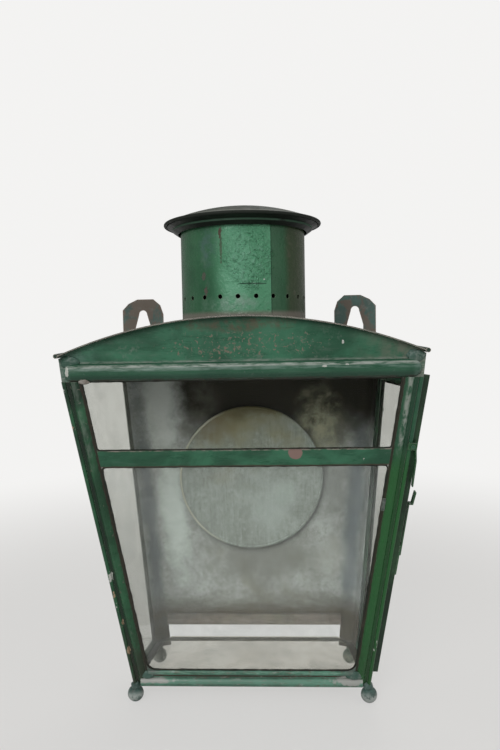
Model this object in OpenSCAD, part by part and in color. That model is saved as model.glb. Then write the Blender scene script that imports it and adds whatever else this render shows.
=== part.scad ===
// Wall-hung oil lamp case: a tin body with a leaning glazed front, a glazed side
// door, a barrel roof, a pierced chimney and a reflector on the back plate.
// X is across, Y runs from the front to the wall, Z is up. Millimetres.

/* [Case] */
// Depth from the roof's front edge to the wall
case_depth = 210; // [200:5:240]
// Width across the front corners, at the underside of the top rail
front_w = 370; // [350:5:390]
// Height of the underside of the top rail
pane_top_z = 396; // [385:1:405]
// Height of the underside of the base frame
base_z = 20; // [18:1:26]
// Lean of the glazed front away from upright, in degrees
front_lean = 14.4; // [12:0.2:16]
// Lean of the sides, seen from the front, in degrees
side_lean = 4.9; // [4:0.1:6]
// Turn of the sides towards the back, seen from above, in degrees
side_toe = 6.5; // [5:0.5:8]
// Thickness of the tin sheet
tin = 1.2; // [1:0.1:1.4]
// Clearance between pieces that slide in or lie against each other
seat_gap = 0.3; // [0.2:0.1:0.4]

/* [Front] */
// Width of a front post's face
post_w = 20.5; // [18:0.5:24]
// Width of a front post's side return
post_return = 16; // [14:1:20]
// Radius of the rolled bead on a post's corner
corner_bead_r = 2.3; // [2:0.1:2.6]
// Radius of the rounded ridge on a post's face
ridge_r = 5.6; // [5:0.2:6.4]
// How far the ridge stands above the face
ridge_rise = 2.6; // [2:0.1:3]
// Distance from the corner to the middle of the ridge
ridge_in = 12.7; // [12:0.1:13.4]
// Height of the half-round top rail
top_rail_h = 18.5; // [16:0.5:21]
// How far the top rail stands proud
top_rail_rise = 6.5; // [5:0.5:7.5]
// Drop from the underside of the top rail to the middle of the glazing bar
bar_drop = 84.8; // [66:0.2:126]
// Width of the glazing bar
bar_w = 19; // [16:1:26]
// Thickness of the glazing bar's face
bar_t = 2.2; // [1.8:0.1:3]
// Height of the lower edge of the lower opening
sill_z = 42.2; // [42:0.2:50]
// Height of the half-round bottom bar
bottom_bar_h = 12; // [10:0.5:13]
// How far the bottom bar stands proud
bottom_bar_rise = 5; // [4:0.5:6]
// Radius of the lower opening's bottom corners
sill_corner_r = 9; // [4:0.5:11]

/* [Roof] */
// How far the roof's edge reaches past the front corner, on each side
roof_side_out = 5.5; // [4:0.5:10]
// Rise from the underside of the top rail to the roof's crest
roof_rise = 65.3; // [60:0.5:74]
// Radius of the barrel roof
roof_r = 480; // [440:5:520]
// Thickness of the roof sheet
roof_t = 1.2; // [1:0.1:1.5]
// How far the roof reaches in front of the gable
roof_overhang = 8; // [7.5:0.5:12]
// Radius of the rolled bead along each eave
eave_bead_r = 2.4; // [2:0.1:4]

/* [Chimney] */
// Outer radius of the chimney
chimney_r = 70.8; // [60:1:78]
// Rise from the roof's crest to the top of the chimney
chimney_h = 98.7; // [89:0.5:114]
// Thickness of the chimney sheet
chimney_t = 1.2; // [1:0.1:1.6]
// Distance of the chimney's axis behind the front corners
chimney_in = 94; // [88:1:104]
// Rise from the roof's crest to the row of air holes
vent_rise = 20.7; // [15:0.5:38]
// Radius of a vent hole
vent_r = 2.4; // [1.8:0.1:3]
// How many vent holes there are
vent_count = 23; // [16:1:28]
// Turn of the row of vent holes, in degrees
vent_turn = -1.9; // [-8:0.2:8]
// Radius of the cap over its rolled brim
cap_r = 89.6; // [86:0.2:95]
// Rise from the chimney's top to the cap's brim
brim_lift = 6; // [5:0.5:16]
// Radius of the rolled brim
brim_bead_r = 1.8; // [1.5:0.1:2.2]
// Rise of the cap's dome above the brim
cap_rise = 19.5; // [16:0.5:30]
// Width of the air gap between the chimney and the cap's skirt
skirt_gap = 2.6; // [2:0.2:4]
// Radius of the inner flue
flue_r = 44; // [36:1:50]

/* [Back] */
// Thickness of a hanging lug
lug_t = 2.5; // [2:0.1:3]
// Distance in from the front corner to the middle of a lug
lug_in = 45; // [43:1:51]
// Outer width of a lug
lug_w = 54; // [48:1:58]
// Width of a lug's opening
lug_slot_w = 21.5; // [18:0.5:24]
// Rise from the roof's crest to the top of a lug
lug_rise = 29.7; // [22:0.5:38]
// Radius of the back plate's upright corners
back_corner_r = 18; // [14:1:20]
// Width of the back plate's side returns beyond the corners
back_return = 14; // [13:1:16]
// Radius of the reflector
reflector_r = 95; // [70:1:100]
// Height of the middle of the reflector
reflector_z = 253; // [235:1:270]
// How far the reflector's rim stands off the back plate
reflector_off = 6; // [5:0.5:10]

/* [Glass] */
// Thickness of the glass panes
glass_t = 3; // [2.5:0.1:3.2]
// How far a pane reaches behind its frame
glass_lap = 7; // [6:0.5:8]

/* [Door] */
// Thickness of the door's frame
door_t = 6.6; // [6.2:0.2:8]
// Gap between the door and the case
door_gap = 0.4; // [0.3:0.1:0.8]
// Width of the door's stiles and rails
door_frame_w = 18; // [15:0.5:20]
// Distance of the door's front edge behind the corner
door_front_in = 2.2; // [2:0.2:4]
// Height of the door's bottom edge
door_bottom_z = 40; // [38:1:50]
// Gap between the door's top edge and the front rail's underside
door_top_gap = -2; // [-3:0.5:2]
// Distance of the hinge axis in front of the wall
hinge_in = 26; // [25:0.5:27]
// Radius of a hinge knuckle
knuckle_r = 3.2; // [3:0.1:3.4]
// Radius of a hinge pin
pin_r = 1.5; // [1.3:0.1:1.7]
// Running clearance round a hinge pin
pin_clear = 0.06; // [0.04:0.01:0.1]
// Length of a hinge
hinge_len = 42; // [36:1:50]
// Height of the middle of the lower hinge
hinge_low_z = 95; // [85:1:120]
// Height of the middle of the upper hinge
hinge_high_z = 345; // [320:1:350]

/* [Catch] */
// Height of the bottom of the catch's fixing plate
catch_plate_z = 170; // [160:1:180]
// Height of the catch's fixing plate
catch_plate_h = 36; // [26:1:40]
// Length of the catch's spring strip up to its lip
catch_len = 63; // [46:1:66]
// Height of the catch's thumb lip
lip_h = 15; // [12:0.5:18]
// How far the thumb lip curls out
lip_out = 4.5; // [3:0.5:6]
// Thickness of the catch's strips
strip_t = 1.4; // [1.2:0.1:1.8]
// Width of the catch's strips
strip_w = 6; // [5:0.5:8]
// Height of the top of the keeper on the post
keeper_top_z = 327; // [318:1:330]
// Length of the keeper
keeper_len = 50; // [40:1:52]

/* [Feet] */
// Radius of a ball foot
foot_r = 9.6; // [9:0.2:10]
// Radius of a ball foot's neck
neck_r = 5; // [4:0.2:6]

/* [Hidden] */
$fn = 64;

roof_y = -case_depth / 2;
front_y = roof_y + roof_overhang;
wall_y = case_depth / 2;
back_y = wall_y - lug_t;
corner_x = front_w / 2;

slope_front = tan(front_lean);
slope_side = tan(side_lean);
slope_toe = tan(side_toe);
side_tilt = atan(slope_side * cos(side_toe));
slope_corner = slope_side + slope_toe * slope_front;
corner_turn = atan(slope_corner * cos(front_lean));
front_normal = [0, -cos(front_lean), -sin(front_lean)];
side_normal = [cos(side_tilt) * cos(side_toe), cos(side_tilt) * sin(side_toe), -sin(side_tilt)];
corner_angle = 180 - acos(front_normal * side_normal);
back_angle = 180 - acos([0, 1, 0] * side_normal);

ridge_drop = ridge_r - ridge_rise;
ridge_half = sqrt(ridge_r * ridge_r - ridge_drop * ridge_drop);
glass_seat = tin + seat_gap;
pane_in = post_w - glass_lap;
bar_z = pane_top_z - bar_drop;
bar_top_z = bar_z + bar_w / 2 * cos(front_lean);
bar_low_z = bar_z - bar_w / 2 * cos(front_lean);
sill_bead_h = 7;
sill_bead_rise = 2.4;
sill_bead_lap = 0.3;
bottom_bar_top_z = base_z + bottom_bar_h * cos(front_lean);
roof_crest_z = pane_top_z + roof_rise;
roof_axis_z = roof_crest_z - roof_r;
chimney_top_z = roof_crest_z + chimney_h;
brim_z = chimney_top_z + brim_lift;
vent_z = roof_crest_z + vent_rise;
lug_top_z = roof_crest_z + lug_rise;
lug_x = corner_x - lug_in;
rail_end_in = 2;
rail_drop_left = 3;
rail_drop_right = 10;
ledge_z = base_z + 10;
ledge_w = 9;
inlet_top_z = 54;
ledge_in = tin + seat_gap;
chimney_y = front_y + chimney_in;
skirt_in_r = chimney_r + skirt_gap;
skirt_low_z = brim_z - 10;
tube_sink = 16;
flue_sink = 14;
flue_drop = 6;
strap_w = 12;
strap_lap = 22;
strap_reach = 9;
skirt_rise = 3.5;
skirt_step = 2;
skirt_lip = 10;
sill_back_z = 66;
sill_step_z = 60;
sill_reach = 9;
sill_step = 6;
back_setback = back_corner_r * tan((180 - back_angle) / 2);
ledge_cut = 6;
lug_foot = 4;
lug_rivet_drop = 16;
lug_slot_rise = 36;
lug_slot_drop = 14.5;
lug_low_z = pane_top_z + lug_foot;
lug_rivet_z = [lug_low_z + lug_rivet_drop / 2, lug_low_z + 1.5 * lug_rivet_drop];
lug_rivet_x = [-lug_w / 3, 0];
lug_outer_in = 20;
lug_outer_drop = 14;
lug_inner_in = 9;
lug_inner_drop = 8;
lug_shoulder_in = 4;
lug_shoulder_drop = 20;
lug_slot_r = 5.5;
lug_slot_taper = 24;
lug_slot_low_z = lug_low_z + lug_slot_rise;
lug_slot_top_z = lug_top_z - lug_slot_drop;
stud_r = 3;
stud_out = 60;
rivet_r = 2;
rivet_fit = 0.05;
rivet_head_r = 3.6;
rivet_head_h = 1.4;
door_rivet_r = 2.2;
door_lip = 15;
door_leaf_w = 18;
frame_leaf_w = 8;
leaf_rivet_in = 4;
pin_head_r = 2.4;
pin_head_h = 2;
catch_plate_w = 15;
catch_rivet_in = 4;
catch_rivet_drop = 6;
catch_lap = 12;
keeper_w = 5;
keeper_foot_h = 8;
keeper_foot_out = 5;
keeper_tip_out = 7;
keeper_slope_h = 12;
clip_t = 0.8;
clip_h = 9;
clip_foot = 2.4;
clip_tongue = 6;
clip_z = [120, 215, 352];
side_clip_z = [130, 340];
tab_z = 247;
tab_h = 15;
weld = 0.05;
big = 900;

function side_x(y, z) = corner_x + slope_side * (z - pane_top_z) - slope_toe * (y - front_y);
function face_y(z) = front_y + (pane_top_z - z) * slope_front;
function face_x(z) = side_x(face_y(z), z);
function arch_z(x, r) = roof_axis_z + sqrt(r * r - x * x);
function on_face(x, z) = [x, (z - pane_top_z) / cos(front_lean)];
function on_side(y, z) =
    let (up = (z - pane_top_z) / cos(side_tilt))
    [(y - front_y - up * sin(side_toe) * sin(side_tilt)) / cos(side_toe), up];

roof_w = front_w + 2 * roof_side_out;
eave_x = roof_w / 2 - eave_bead_r;
eave_front = [eave_x, roof_y, arch_z(eave_x, roof_r)];
eave_back_x = eave_x - slope_toe * (back_y - roof_y);
eave_back = [eave_back_x, back_y, arch_z(eave_back_x, roof_r)];

// Places children in the plane of the glazed front: x across, y up, z out.
module front_plane() {
    translate([0, front_y, pane_top_z])
        rotate([90 + front_lean, 0, 0])
            children();
}

// Places children in the plane of the right side: x to the back, y up, z out.
module side_plane() {
    translate([corner_x, front_y, pane_top_z])
        rotate([0, 0, side_toe])
            rotate([0, side_tilt, 0])
                rotate([90, 0, 90])
                    children();
}

// Sweeps a section down the right front corner: x outwards, y to the front.
module corner_sweep() {
    front_plane()
        translate([corner_x, 0, 0])
            rotate([0, 0, -corner_turn])
                rotate([90, 0, 0])
                    translate([0, 0, -big / 4])
                        linear_extrude(big)
                            children();
}

// Keeps what lies between two heights.
module between(low, high) {
    intersection() {
        children();
        translate([-big / 2, -big / 2, low])
            cube([big, big, high - low]);
    }
}

module left_copy() {
    mirror([1, 0, 0])
        children();
}

module face_sheet(points, low, high) {
    front_plane()
        translate([0, 0, low])
            linear_extrude(high - low)
                polygon(points);
}

module side_sheet(points, low, high) {
    side_plane()
        translate([0, 0, low])
            linear_extrude(high - low)
                polygon(points);
}

// A strip across the leaning front, from post to post, trimmed to the side slope.
function face_band(inset, low, high) = [
    on_face(-(face_x(low) - inset), low),
    on_face(face_x(low) - inset, low),
    on_face(face_x(high) - inset, high),
    on_face(-(face_x(high) - inset), high)
];

// A four-sided outline on the side, between two upright lines and two heights.
function side_band(front_in, back_at, low, high) = [
    on_side(face_y(low) + front_in, low),
    on_side(back_at, low),
    on_side(back_at, high),
    on_side(face_y(high) + front_in, high)
];

// ---- Front ----

module post_sheet() {
    translate([-post_w, -tin])
        square([post_w, tin]);
    rotate(180 + corner_angle)
        translate([0, -tin])
            square([post_return, tin]);
}

module post_section() {
    post_sheet();
    translate([-corner_bead_r + seat_gap, seat_gap])
        circle(corner_bead_r);
    intersection() {
        translate([-ridge_in, -ridge_drop])
            circle(ridge_r);
        translate([-post_w, -tin])
            square([post_w, tin + ridge_rise]);
    }
}

module post_foot_section() {
    post_sheet();
    translate([-corner_bead_r + seat_gap, seat_gap])
        circle(corner_bead_r);
}

module front_post() {
    between(bottom_bar_top_z, pane_top_z)
        corner_sweep()
            post_section();
    between(base_z, bottom_bar_top_z)
        corner_sweep()
            post_foot_section();
}

module front_post_left() {
    color("#2c5a40")
        left_copy()
            front_post();
}

module front_post_right() {
    color("#2c6a40")
        front_post();
}

// A half-round section lying on the x axis, h long and proud by rise.
module half_round(h, rise) {
    r = (h * h / 4 + rise * rise) / (2 * rise);
    intersection() {
        translate([h / 2, rise - r])
            circle(r, $fn = 96);
        square([h, rise]);
    }
}

// Runs a section (x up, y out) across the front, centred on the middle.
module run_across(length) {
    rotate([90, 0, 90])
        linear_extrude(length, center = true)
            children();
}

module top_rail() {
    length = 2 * (side_x(front_y, pane_top_z) - rail_end_in);
    color("#3f7458")
        translate([0, front_y, pane_top_z])
            rotate([90, 0, 0])
                difference() {
                    run_across(length)
                        half_round(top_rail_h, top_rail_rise);
                    run_across(length - 2 * tin)
                        translate([tin, -tin])
                            half_round(top_rail_h - 2 * tin, top_rail_rise);
                }
}

module front_gable() {
    inner_r = roof_r - roof_t;
    shoulder_x = eave_x - eave_bead_r - seat_gap;
    shoulder_z = eave_front[2] - eave_bead_r - seat_gap;
    wing_x = eave_x - seat_gap;
    color("#28533b")
        translate([0, front_y + tin, 0])
            rotate([90, 0, 0])
                linear_extrude(tin)
                    intersection() {
                        polygon([
                            [-side_x(front_y, pane_top_z), pane_top_z],
                            [side_x(front_y, pane_top_z), pane_top_z],
                            [wing_x, shoulder_z],
                            [shoulder_x, shoulder_z],
                            [shoulder_x, roof_crest_z],
                            [-shoulder_x, roof_crest_z],
                            [-shoulder_x, shoulder_z],
                            [-wing_x, shoulder_z]
                        ]);
                        translate([0, roof_axis_z])
                            circle(inner_r, $fn = 200);
                    }
}

module glazing_bar() {
    web_half = tin / 2;
    color("#2c5a40") {
        face_sheet(face_band(post_w, bar_low_z, bar_top_z), -tin, bar_t - tin);
        face_sheet(face_band(post_w + seat_gap, bar_z - web_half, bar_z + web_half),
                   -glass_seat - glass_t, weld - tin);
    }
}

// Fills a bottom corner of the lower opening, with a round inner edge.
module sill_corner() {
    side_slope = slope_corner * cos(front_lean);
    low = on_face(face_x(sill_z) - post_w, sill_z);
    middle_y = low[1] + sill_corner_r;
    middle_x = low[0] + side_slope * sill_corner_r
        - sill_corner_r * sqrt(1 + side_slope * side_slope);
    side_y = middle_y - sill_corner_r * sin(atan(side_slope));
    side_x = low[0] + side_slope * (side_y - low[1]);
    difference() {
        polygon([
            [middle_x, low[1] - weld],
            [low[0] - weld, low[1] - weld],
            low,
            [side_x, side_y],
            [middle_x, middle_y]
        ]);
        translate([middle_x, middle_y])
            circle(sill_corner_r);
    }
}

module bottom_rail() {
    bar_in = 9;
    bead_low_z = sill_z - (sill_bead_h + sill_bead_lap) * cos(front_lean);
    color("#3f7458") {
        face_sheet(face_band(post_w, base_z, sill_z), -tin, 0);
        face_sheet(face_band(post_w, base_z + weld, bottom_bar_top_z - 1), -tin, weld);
        front_plane()
            translate([0, 0, -tin])
                linear_extrude(tin)
                    for (turn = [0, 1])
                        mirror([turn, 0])
                            sill_corner();
        front_plane()
            translate([0, (base_z - pane_top_z) / cos(front_lean), 0])
                run_across(2 * (face_x(base_z) - bar_in))
                    half_round(bottom_bar_h, bottom_bar_rise);
        front_plane()
            translate([0, (bead_low_z - pane_top_z) / cos(front_lean), -weld])
                run_across(2 * (face_x(bead_low_z) - post_w - seat_gap))
                    half_round(sill_bead_h, sill_bead_rise);
    }
}

// ---- Roof ----

// A barrel shell between two radii, over the case's tapering plan.
module barrel(outer_r, inner_r, from_y, to_y) {
    translate([0, to_y, roof_axis_z])
        rotate([90, 0, 0])
            linear_extrude(to_y - from_y)
                intersection() {
                    difference() {
                        circle(outer_r, $fn = 200);
                        circle(inner_r, $fn = 200);
                    }
                    translate([-roof_w, 0])
                        square([2 * roof_w, outer_r]);
                }
}

module eave_bead(radius) {
    run = eave_back - eave_front;
    spare = 4 * radius;
    intersection() {
        translate(eave_front)
            rotate([0, acos(run[2] / norm(run)), atan2(run[1], run[0])])
                translate([0, 0, -spare])
                    cylinder(h = norm(run) + 2 * spare, r = radius);
        translate([0, roof_y, pane_top_z])
            cube([roof_w, back_y - roof_y, big]);
    }
}

module roof_plan() {
    translate([0, 0, pane_top_z])
        linear_extrude(big)
            polygon([
                [-eave_front[0], eave_front[1]],
                [eave_front[0], eave_front[1]],
                [eave_back[0], eave_back[1]],
                [-eave_back[0], eave_back[1]]
            ]);
}

module roof_sheet() {
    color("#33493f")
        difference() {
            intersection() {
                barrel(roof_r, roof_r - roof_t, roof_y, back_y);
                roof_plan();
            }
            translate([0, chimney_y, pane_top_z])
                cylinder(h = big, r = chimney_r + seat_gap);
            eave_bead(eave_bead_r);
            left_copy()
                eave_bead(eave_bead_r);
        }
}

module eave_bead_right() {
    color("#33493f")
        eave_bead(eave_bead_r);
}

module eave_bead_left() {
    color("#33493f")
        left_copy()
            eave_bead(eave_bead_r);
}

// ---- Chimney ----

module ring(outer_r, inner_r, low, high) {
    translate([0, chimney_y, low])
        difference() {
            cylinder(h = high - low, r = outer_r);
            translate([0, 0, -1])
                cylinder(h = high - low + 2, r = inner_r);
        }
}

module chimney_collar() {
    collar_reach = 7;
    collar_rise = 1.5;
    color("#5b4a41")
        intersection() {
            barrel(roof_r + collar_rise, roof_r, roof_y, back_y);
            ring(chimney_r + collar_reach, chimney_r + seat_gap, pane_top_z, brim_z);
        }
}

module chimney_tube() {
    color("#2f6a4a")
        difference() {
            ring(chimney_r, chimney_r - chimney_t, roof_crest_z - tube_sink, chimney_top_z);
            for (i = [0:vent_count - 1])
                translate([0, chimney_y, vent_z])
                    rotate([90, 0, vent_turn + i * 360 / vent_count])
                        translate([0, 0, chimney_r - 5 * chimney_t])
                            cylinder(h = 10 * chimney_t, r = vent_r);
        }
}

module inner_flue() {
    flue_low_z = roof_crest_z - flue_sink;
    color("#4a4640") {
        ring(flue_r, flue_r - chimney_t, flue_low_z + chimney_t, chimney_top_z - flue_drop);
        ring(chimney_r - chimney_t - seat_gap / 2, flue_r - chimney_t,
             flue_low_z, flue_low_z + chimney_t);
    }
}

// The skirt closes the cap from below and slopes down to the chimney.
module cap_skirt() {
    step_r = cap_r - skirt_lip;
    step_low = skirt_low_z + skirt_rise;
    step_high = step_low + skirt_step;
    rim_r = cap_r - 2 * brim_bead_r - seat_gap;
    color("#23382d")
        translate([0, chimney_y, 0])
            rotate_extrude()
                polygon([
                    [skirt_in_r, skirt_low_z],
                    [skirt_in_r + chimney_t, skirt_low_z],
                    [step_r, step_low],
                    [step_r, step_high],
                    [rim_r, brim_z - brim_bead_r],
                    [rim_r, brim_z - brim_bead_r + chimney_t],
                    [step_r - chimney_t, step_high + chimney_t],
                    [step_r - chimney_t, step_low + chimney_t],
                    [skirt_in_r, skirt_low_z + 1.6 * chimney_t]
                ]);
}

module cap_dome() {
    dome_r = (cap_r * cap_r + cap_rise * cap_rise) / (2 * cap_rise);
    edge_r = cap_r - brim_bead_r;
    color("#5f7a6c")
        translate([0, chimney_y, 0])
            rotate_extrude($fn = 128) {
                intersection() {
                    translate([0, brim_z + cap_rise - dome_r])
                        difference() {
                            circle(dome_r, $fn = 200);
                            circle(dome_r - chimney_t, $fn = 200);
                        }
                    translate([0, brim_z - brim_bead_r])
                        square([edge_r, cap_rise + 2 * brim_bead_r]);
                }
                translate([edge_r, brim_z])
                    circle(brim_bead_r, $fn = 32);
            }
}

// Four bent straps carry the cap on the inside of the chimney.
module cap_straps() {
    strap_low = chimney_top_z - strap_lap;
    wall_in = chimney_r - chimney_t;
    dome_r = (cap_r * cap_r + cap_rise * cap_rise) / (2 * cap_rise);
    strap_top = brim_z + cap_rise - dome_r
        + sqrt((dome_r - chimney_t) * (dome_r - chimney_t) - wall_in * wall_in) - seat_gap;
    color("#3a3f3b")
        translate([0, chimney_y, 0])
            for (i = [0:3])
                rotate([0, 0, 45 + i * 90])
                    rotate([90, 0, 0])
                        linear_extrude(strap_w, center = true)
                            polygon([
                                [wall_in - chimney_t - seat_gap, strap_low],
                                [wall_in - seat_gap, strap_low],
                                [wall_in - seat_gap, strap_top],
                                [wall_in - strap_reach, strap_top],
                                [wall_in - strap_reach, strap_top - chimney_t],
                                [wall_in - chimney_t - seat_gap, strap_top - chimney_t]
                            ]);
}

// ---- Back ----

// Sweeps a section up the right back corner: x outwards, y to the wall.
module back_sweep() {
    translate([side_x(back_y, 0), back_y, 0])
        rotate([0, side_lean, 0])
            translate([0, 0, -big / 4])
                linear_extrude(big)
                    children();
}

// The rounded corner of the back plate with its side return.
module back_corner_section() {
    turn = 180 - back_angle;
    reach = back_corner_r + 1;
    translate([-back_setback, -back_corner_r])
        intersection() {
            difference() {
                circle(back_corner_r);
                circle(back_corner_r - tin);
            }
            polygon([
                [0, 0],
                [0, reach],
                [reach * 2 * sin(turn / 2), reach * 2 * cos(turn / 2)],
                [reach * sin(turn), reach * cos(turn)]
            ]);
        }
    rotate(-turn)
        translate([back_setback - weld, -tin])
            square([back_return + weld, tin]);
}

module back_corner() {
    between(base_z, eave_z(return_front_y) - eave_bead_r - seat_gap)
        back_sweep()
            back_corner_section();
}

// Half the width of the back plate's flat, at a height.
function back_flat_x(z) = side_x(back_y, z) - back_setback / cos(side_lean) + weld;

module back_plate() {
    flat_low = back_flat_x(inlet_top_z);
    flat_high = back_flat_x(roof_crest_z);
    color("#8f9894") {
        translate([0, back_y, 0])
            rotate([90, 0, 0])
                linear_extrude(tin)
                    difference() {
                        intersection() {
                            polygon([
                                [-flat_low, inlet_top_z],
                                [flat_low, inlet_top_z],
                                [flat_high, roof_crest_z],
                                [-flat_high, roof_crest_z]
                            ]);
                            translate([0, roof_axis_z])
                                circle(roof_r - roof_t, $fn = 200);
                        }
                        for (lug_side = [0, 1])
                            mirror([lug_side, 0])
                                translate([lug_x, 0])
                                    lug_rivet_circles(rivet_r + rivet_fit);
                    }
        back_corner();
        left_copy()
            back_corner();
    }
}

module reflector() {
    rim_r = 1.6;
    dish_r = reflector_r - 2 * rim_r;
    plate_y = back_y - tin;
    color("#9aa39f")
        translate([0, plate_y - reflector_off, reflector_z])
            rotate([90, 0, 0])
                rotate_extrude($fn = 128) {
                    square([dish_r + rim_r, 1]);
                    translate([reflector_r - rim_r, rim_r / 2])
                        circle(rim_r, $fn = 32);
                }
}

module reflector_studs() {
    color("#8b8f8c")
        for (turn = [30, 150, 270])
            translate([stud_out * cos(turn), back_y - tin, reflector_z + stud_out * sin(turn)])
                rotate([90, 0, 0])
                    cylinder(h = reflector_off, r = stud_r);
}

module lug_rivet_circles(radius) {
    for (x = lug_rivet_x, z = lug_rivet_z)
        translate([x, z])
            circle(radius);
}

module lug_outline() {
    half = lug_w / 2;
    polygon([
        [-half, lug_low_z],
        [half, lug_low_z],
        [half, lug_top_z - lug_outer_drop],
        [half - 0.4 * lug_outer_in, lug_top_z - 0.4 * lug_outer_drop],
        [half - lug_outer_in, lug_top_z],
        [lug_shoulder_in + lug_inner_in - half, lug_top_z],
        [lug_shoulder_in - half, lug_top_z - lug_inner_drop],
        [-half, lug_top_z - lug_shoulder_drop]
    ]);
}

module lug() {
    slot_half = lug_slot_w / 2;
    slot_arch_z = lug_slot_top_z - lug_slot_r;
    color("#5d6660")
        translate([lug_x, wall_y, 0])
            rotate([90, 0, 0])
                linear_extrude(lug_t)
                    difference() {
                        lug_outline();
                        polygon([
                            [-slot_half, lug_slot_low_z],
                            [slot_half, lug_slot_low_z],
                            [slot_half, lug_slot_top_z - lug_slot_taper],
                            [lug_slot_r, slot_arch_z],
                            [-lug_slot_r, slot_arch_z],
                            [-slot_half, lug_slot_top_z - lug_slot_taper]
                        ]);
                        translate([0, slot_arch_z])
                            circle(lug_slot_r);
                        lug_rivet_circles(rivet_r + rivet_fit);
                    }
}

module lug_right() {
    lug();
}

module lug_left() {
    left_copy()
        lug();
}

module lug_rivets() {
    color("#6b6a63")
        for (lug_side = [0, 1])
            mirror([lug_side, 0, 0])
                translate([lug_x, wall_y, 0])
                    rotate([90, 0, 0]) {
                        linear_extrude(lug_t + tin)
                            lug_rivet_circles(rivet_r);
                        for (x = lug_rivet_x, z = lug_rivet_z)
                            translate([x, z, lug_t + tin])
                                cylinder(h = rivet_head_h, r = rivet_head_r);
                    }
}

module back_sill() {
    length = 2 * (back_flat_x(inlet_top_z) - seat_gap);
    color("#5f5a50")
        translate([0, back_y - tin, 0])
            rotate([90, 0, 90])
                linear_extrude(length, center = true)
                    polygon([
                        [0, sill_back_z],
                        [1 - sill_step, sill_back_z],
                        [-sill_step, sill_back_z - 1],
                        [-sill_step, sill_step_z],
                        [-sill_reach, sill_step_z - sill_step / 2],
                        [-sill_reach, inlet_top_z],
                        [0, inlet_top_z]
                    ]);
}

// ---- Sides and base ----

return_front_y = back_y - (back_setback + back_return) * cos(side_toe) - seat_gap;
return_in = post_return / cos(front_lean) + seat_gap;

function eave_z(y) = eave_front[2] + (eave_back[2] - eave_front[2])
    * (y - eave_front[1]) / (eave_back[1] - eave_front[1]);

module side_rail(drop) {
    low = pane_top_z - drop;
    front_top_y = front_y + tin + seat_gap;
    under = eave_bead_r + seat_gap;
    side_sheet([
        on_side(face_y(low) + return_in, low),
        on_side(return_front_y, low),
        on_side(return_front_y, eave_z(return_front_y) - under),
        on_side(front_top_y, eave_z(front_top_y) - under),
        on_side(front_top_y, pane_top_z + seat_gap),
        on_side(front_y + return_in, pane_top_z + seat_gap)
    ], -tin, 0);
}

module side_rail_left() {
    color("#2c5a40")
        left_copy()
            side_rail(rail_drop_left);
}

module side_rail_right() {
    color("#2c5a40")
        side_rail(rail_drop_right);
}

module base_rail() {
    side_sheet(side_band(return_in, return_front_y, base_z, sill_z), -tin, 0);
}

module base_rail_left() {
    color("#2c5a40")
        left_copy()
            base_rail();
}

module base_rail_right() {
    color("#2c5a40")
        base_rail();
}

// Half of a level outline inside the walls, from the front middle to the back.
function level_outline(z, inset, front_cut, back_cut) =
    let (
        y0 = face_y(z) + inset,
        y1 = back_y - inset,
        x0 = side_x(y0, z) - inset,
        x1 = side_x(y1, z) - inset
    )
    [
        [x0 - front_cut, y0],
        [x0 - front_cut * slope_toe, y0 + front_cut],
        [x1 + back_cut * slope_toe, y1 - back_cut],
        [x1 - back_cut, y1]
    ];

module level_plate(z, thickness, inset, front_cut, back_cut) {
    half = level_outline(z, inset, front_cut, back_cut);
    translate([0, 0, z])
        linear_extrude(thickness)
            polygon([
                for (point = half) point,
                for (i = [3:-1:0]) [-half[i][0], half[i][1]]
            ]);
}

module base_ledge() {
    color("#4c5249")
        difference() {
            level_plate(ledge_z, tin, ledge_in, ledge_cut, back_corner_r);
            translate([0, 0, -tin])
                level_plate(ledge_z, 4 * tin, ledge_in + ledge_w, ledge_cut, ledge_cut);
        }
}

module glass_bottom() {
    color("#b9c4c0", 0.4)
        level_plate(ledge_z + tin, glass_t, ledge_in + seat_gap, ledge_cut, back_corner_r);
}

// ---- Glass ----

module glass_upper() {
    color("#b9c4c0", 0.4)
        face_sheet(face_band(pane_in, bar_z + tin / 2 + seat_gap, pane_top_z - seat_gap),
                   -glass_seat - glass_t, -glass_seat);
}

module glass_lower() {
    color("#b9c4c0", 0.4)
        face_sheet(face_band(pane_in, sill_z - glass_lap, bar_z - tin / 2 - seat_gap),
                   -glass_seat - glass_t, -glass_seat);
}

module glass_left() {
    lap_in = (post_return - glass_lap) / cos(front_lean);
    color("#b9c4c0", 0.4)
        left_copy()
            side_sheet(side_band(lap_in, return_front_y + glass_lap, sill_z - glass_lap,
                                 pane_top_z - seat_gap),
                       -glass_seat - glass_t, -glass_seat);
}

// A bent tab that holds a pane's edge, at a height on the right post.
module face_clip(z) {
    deep = glass_seat + glass_t + seat_gap;
    front_plane()
        translate(concat(on_face(face_x(z), z), 0))
            rotate([0, 0, -corner_turn]) {
                translate([-pane_in + seat_gap, 0, -deep - clip_t])
                    cube([clip_foot, clip_h, deep + clip_t - tin]);
                translate([-pane_in - clip_tongue, 0, -deep - clip_t])
                    cube([clip_tongue + clip_foot, clip_h, clip_t]);
            }
}

module side_clip(z) {
    deep = glass_seat + glass_t + seat_gap;
    lap_in = post_return - glass_lap;
    edge = on_side(face_y(z), z);
    side_plane()
        translate([edge[0] + lap_in / cos(front_lean), edge[1], 0])
            rotate([0, 0, front_lean]) {
                translate([-clip_foot - seat_gap, 0, -deep - clip_t])
                    cube([clip_foot, clip_h, deep + clip_t - tin]);
                translate([-clip_foot - seat_gap, 0, -deep - clip_t])
                    cube([clip_tongue + clip_foot, clip_h, clip_t]);
            }
}

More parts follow.
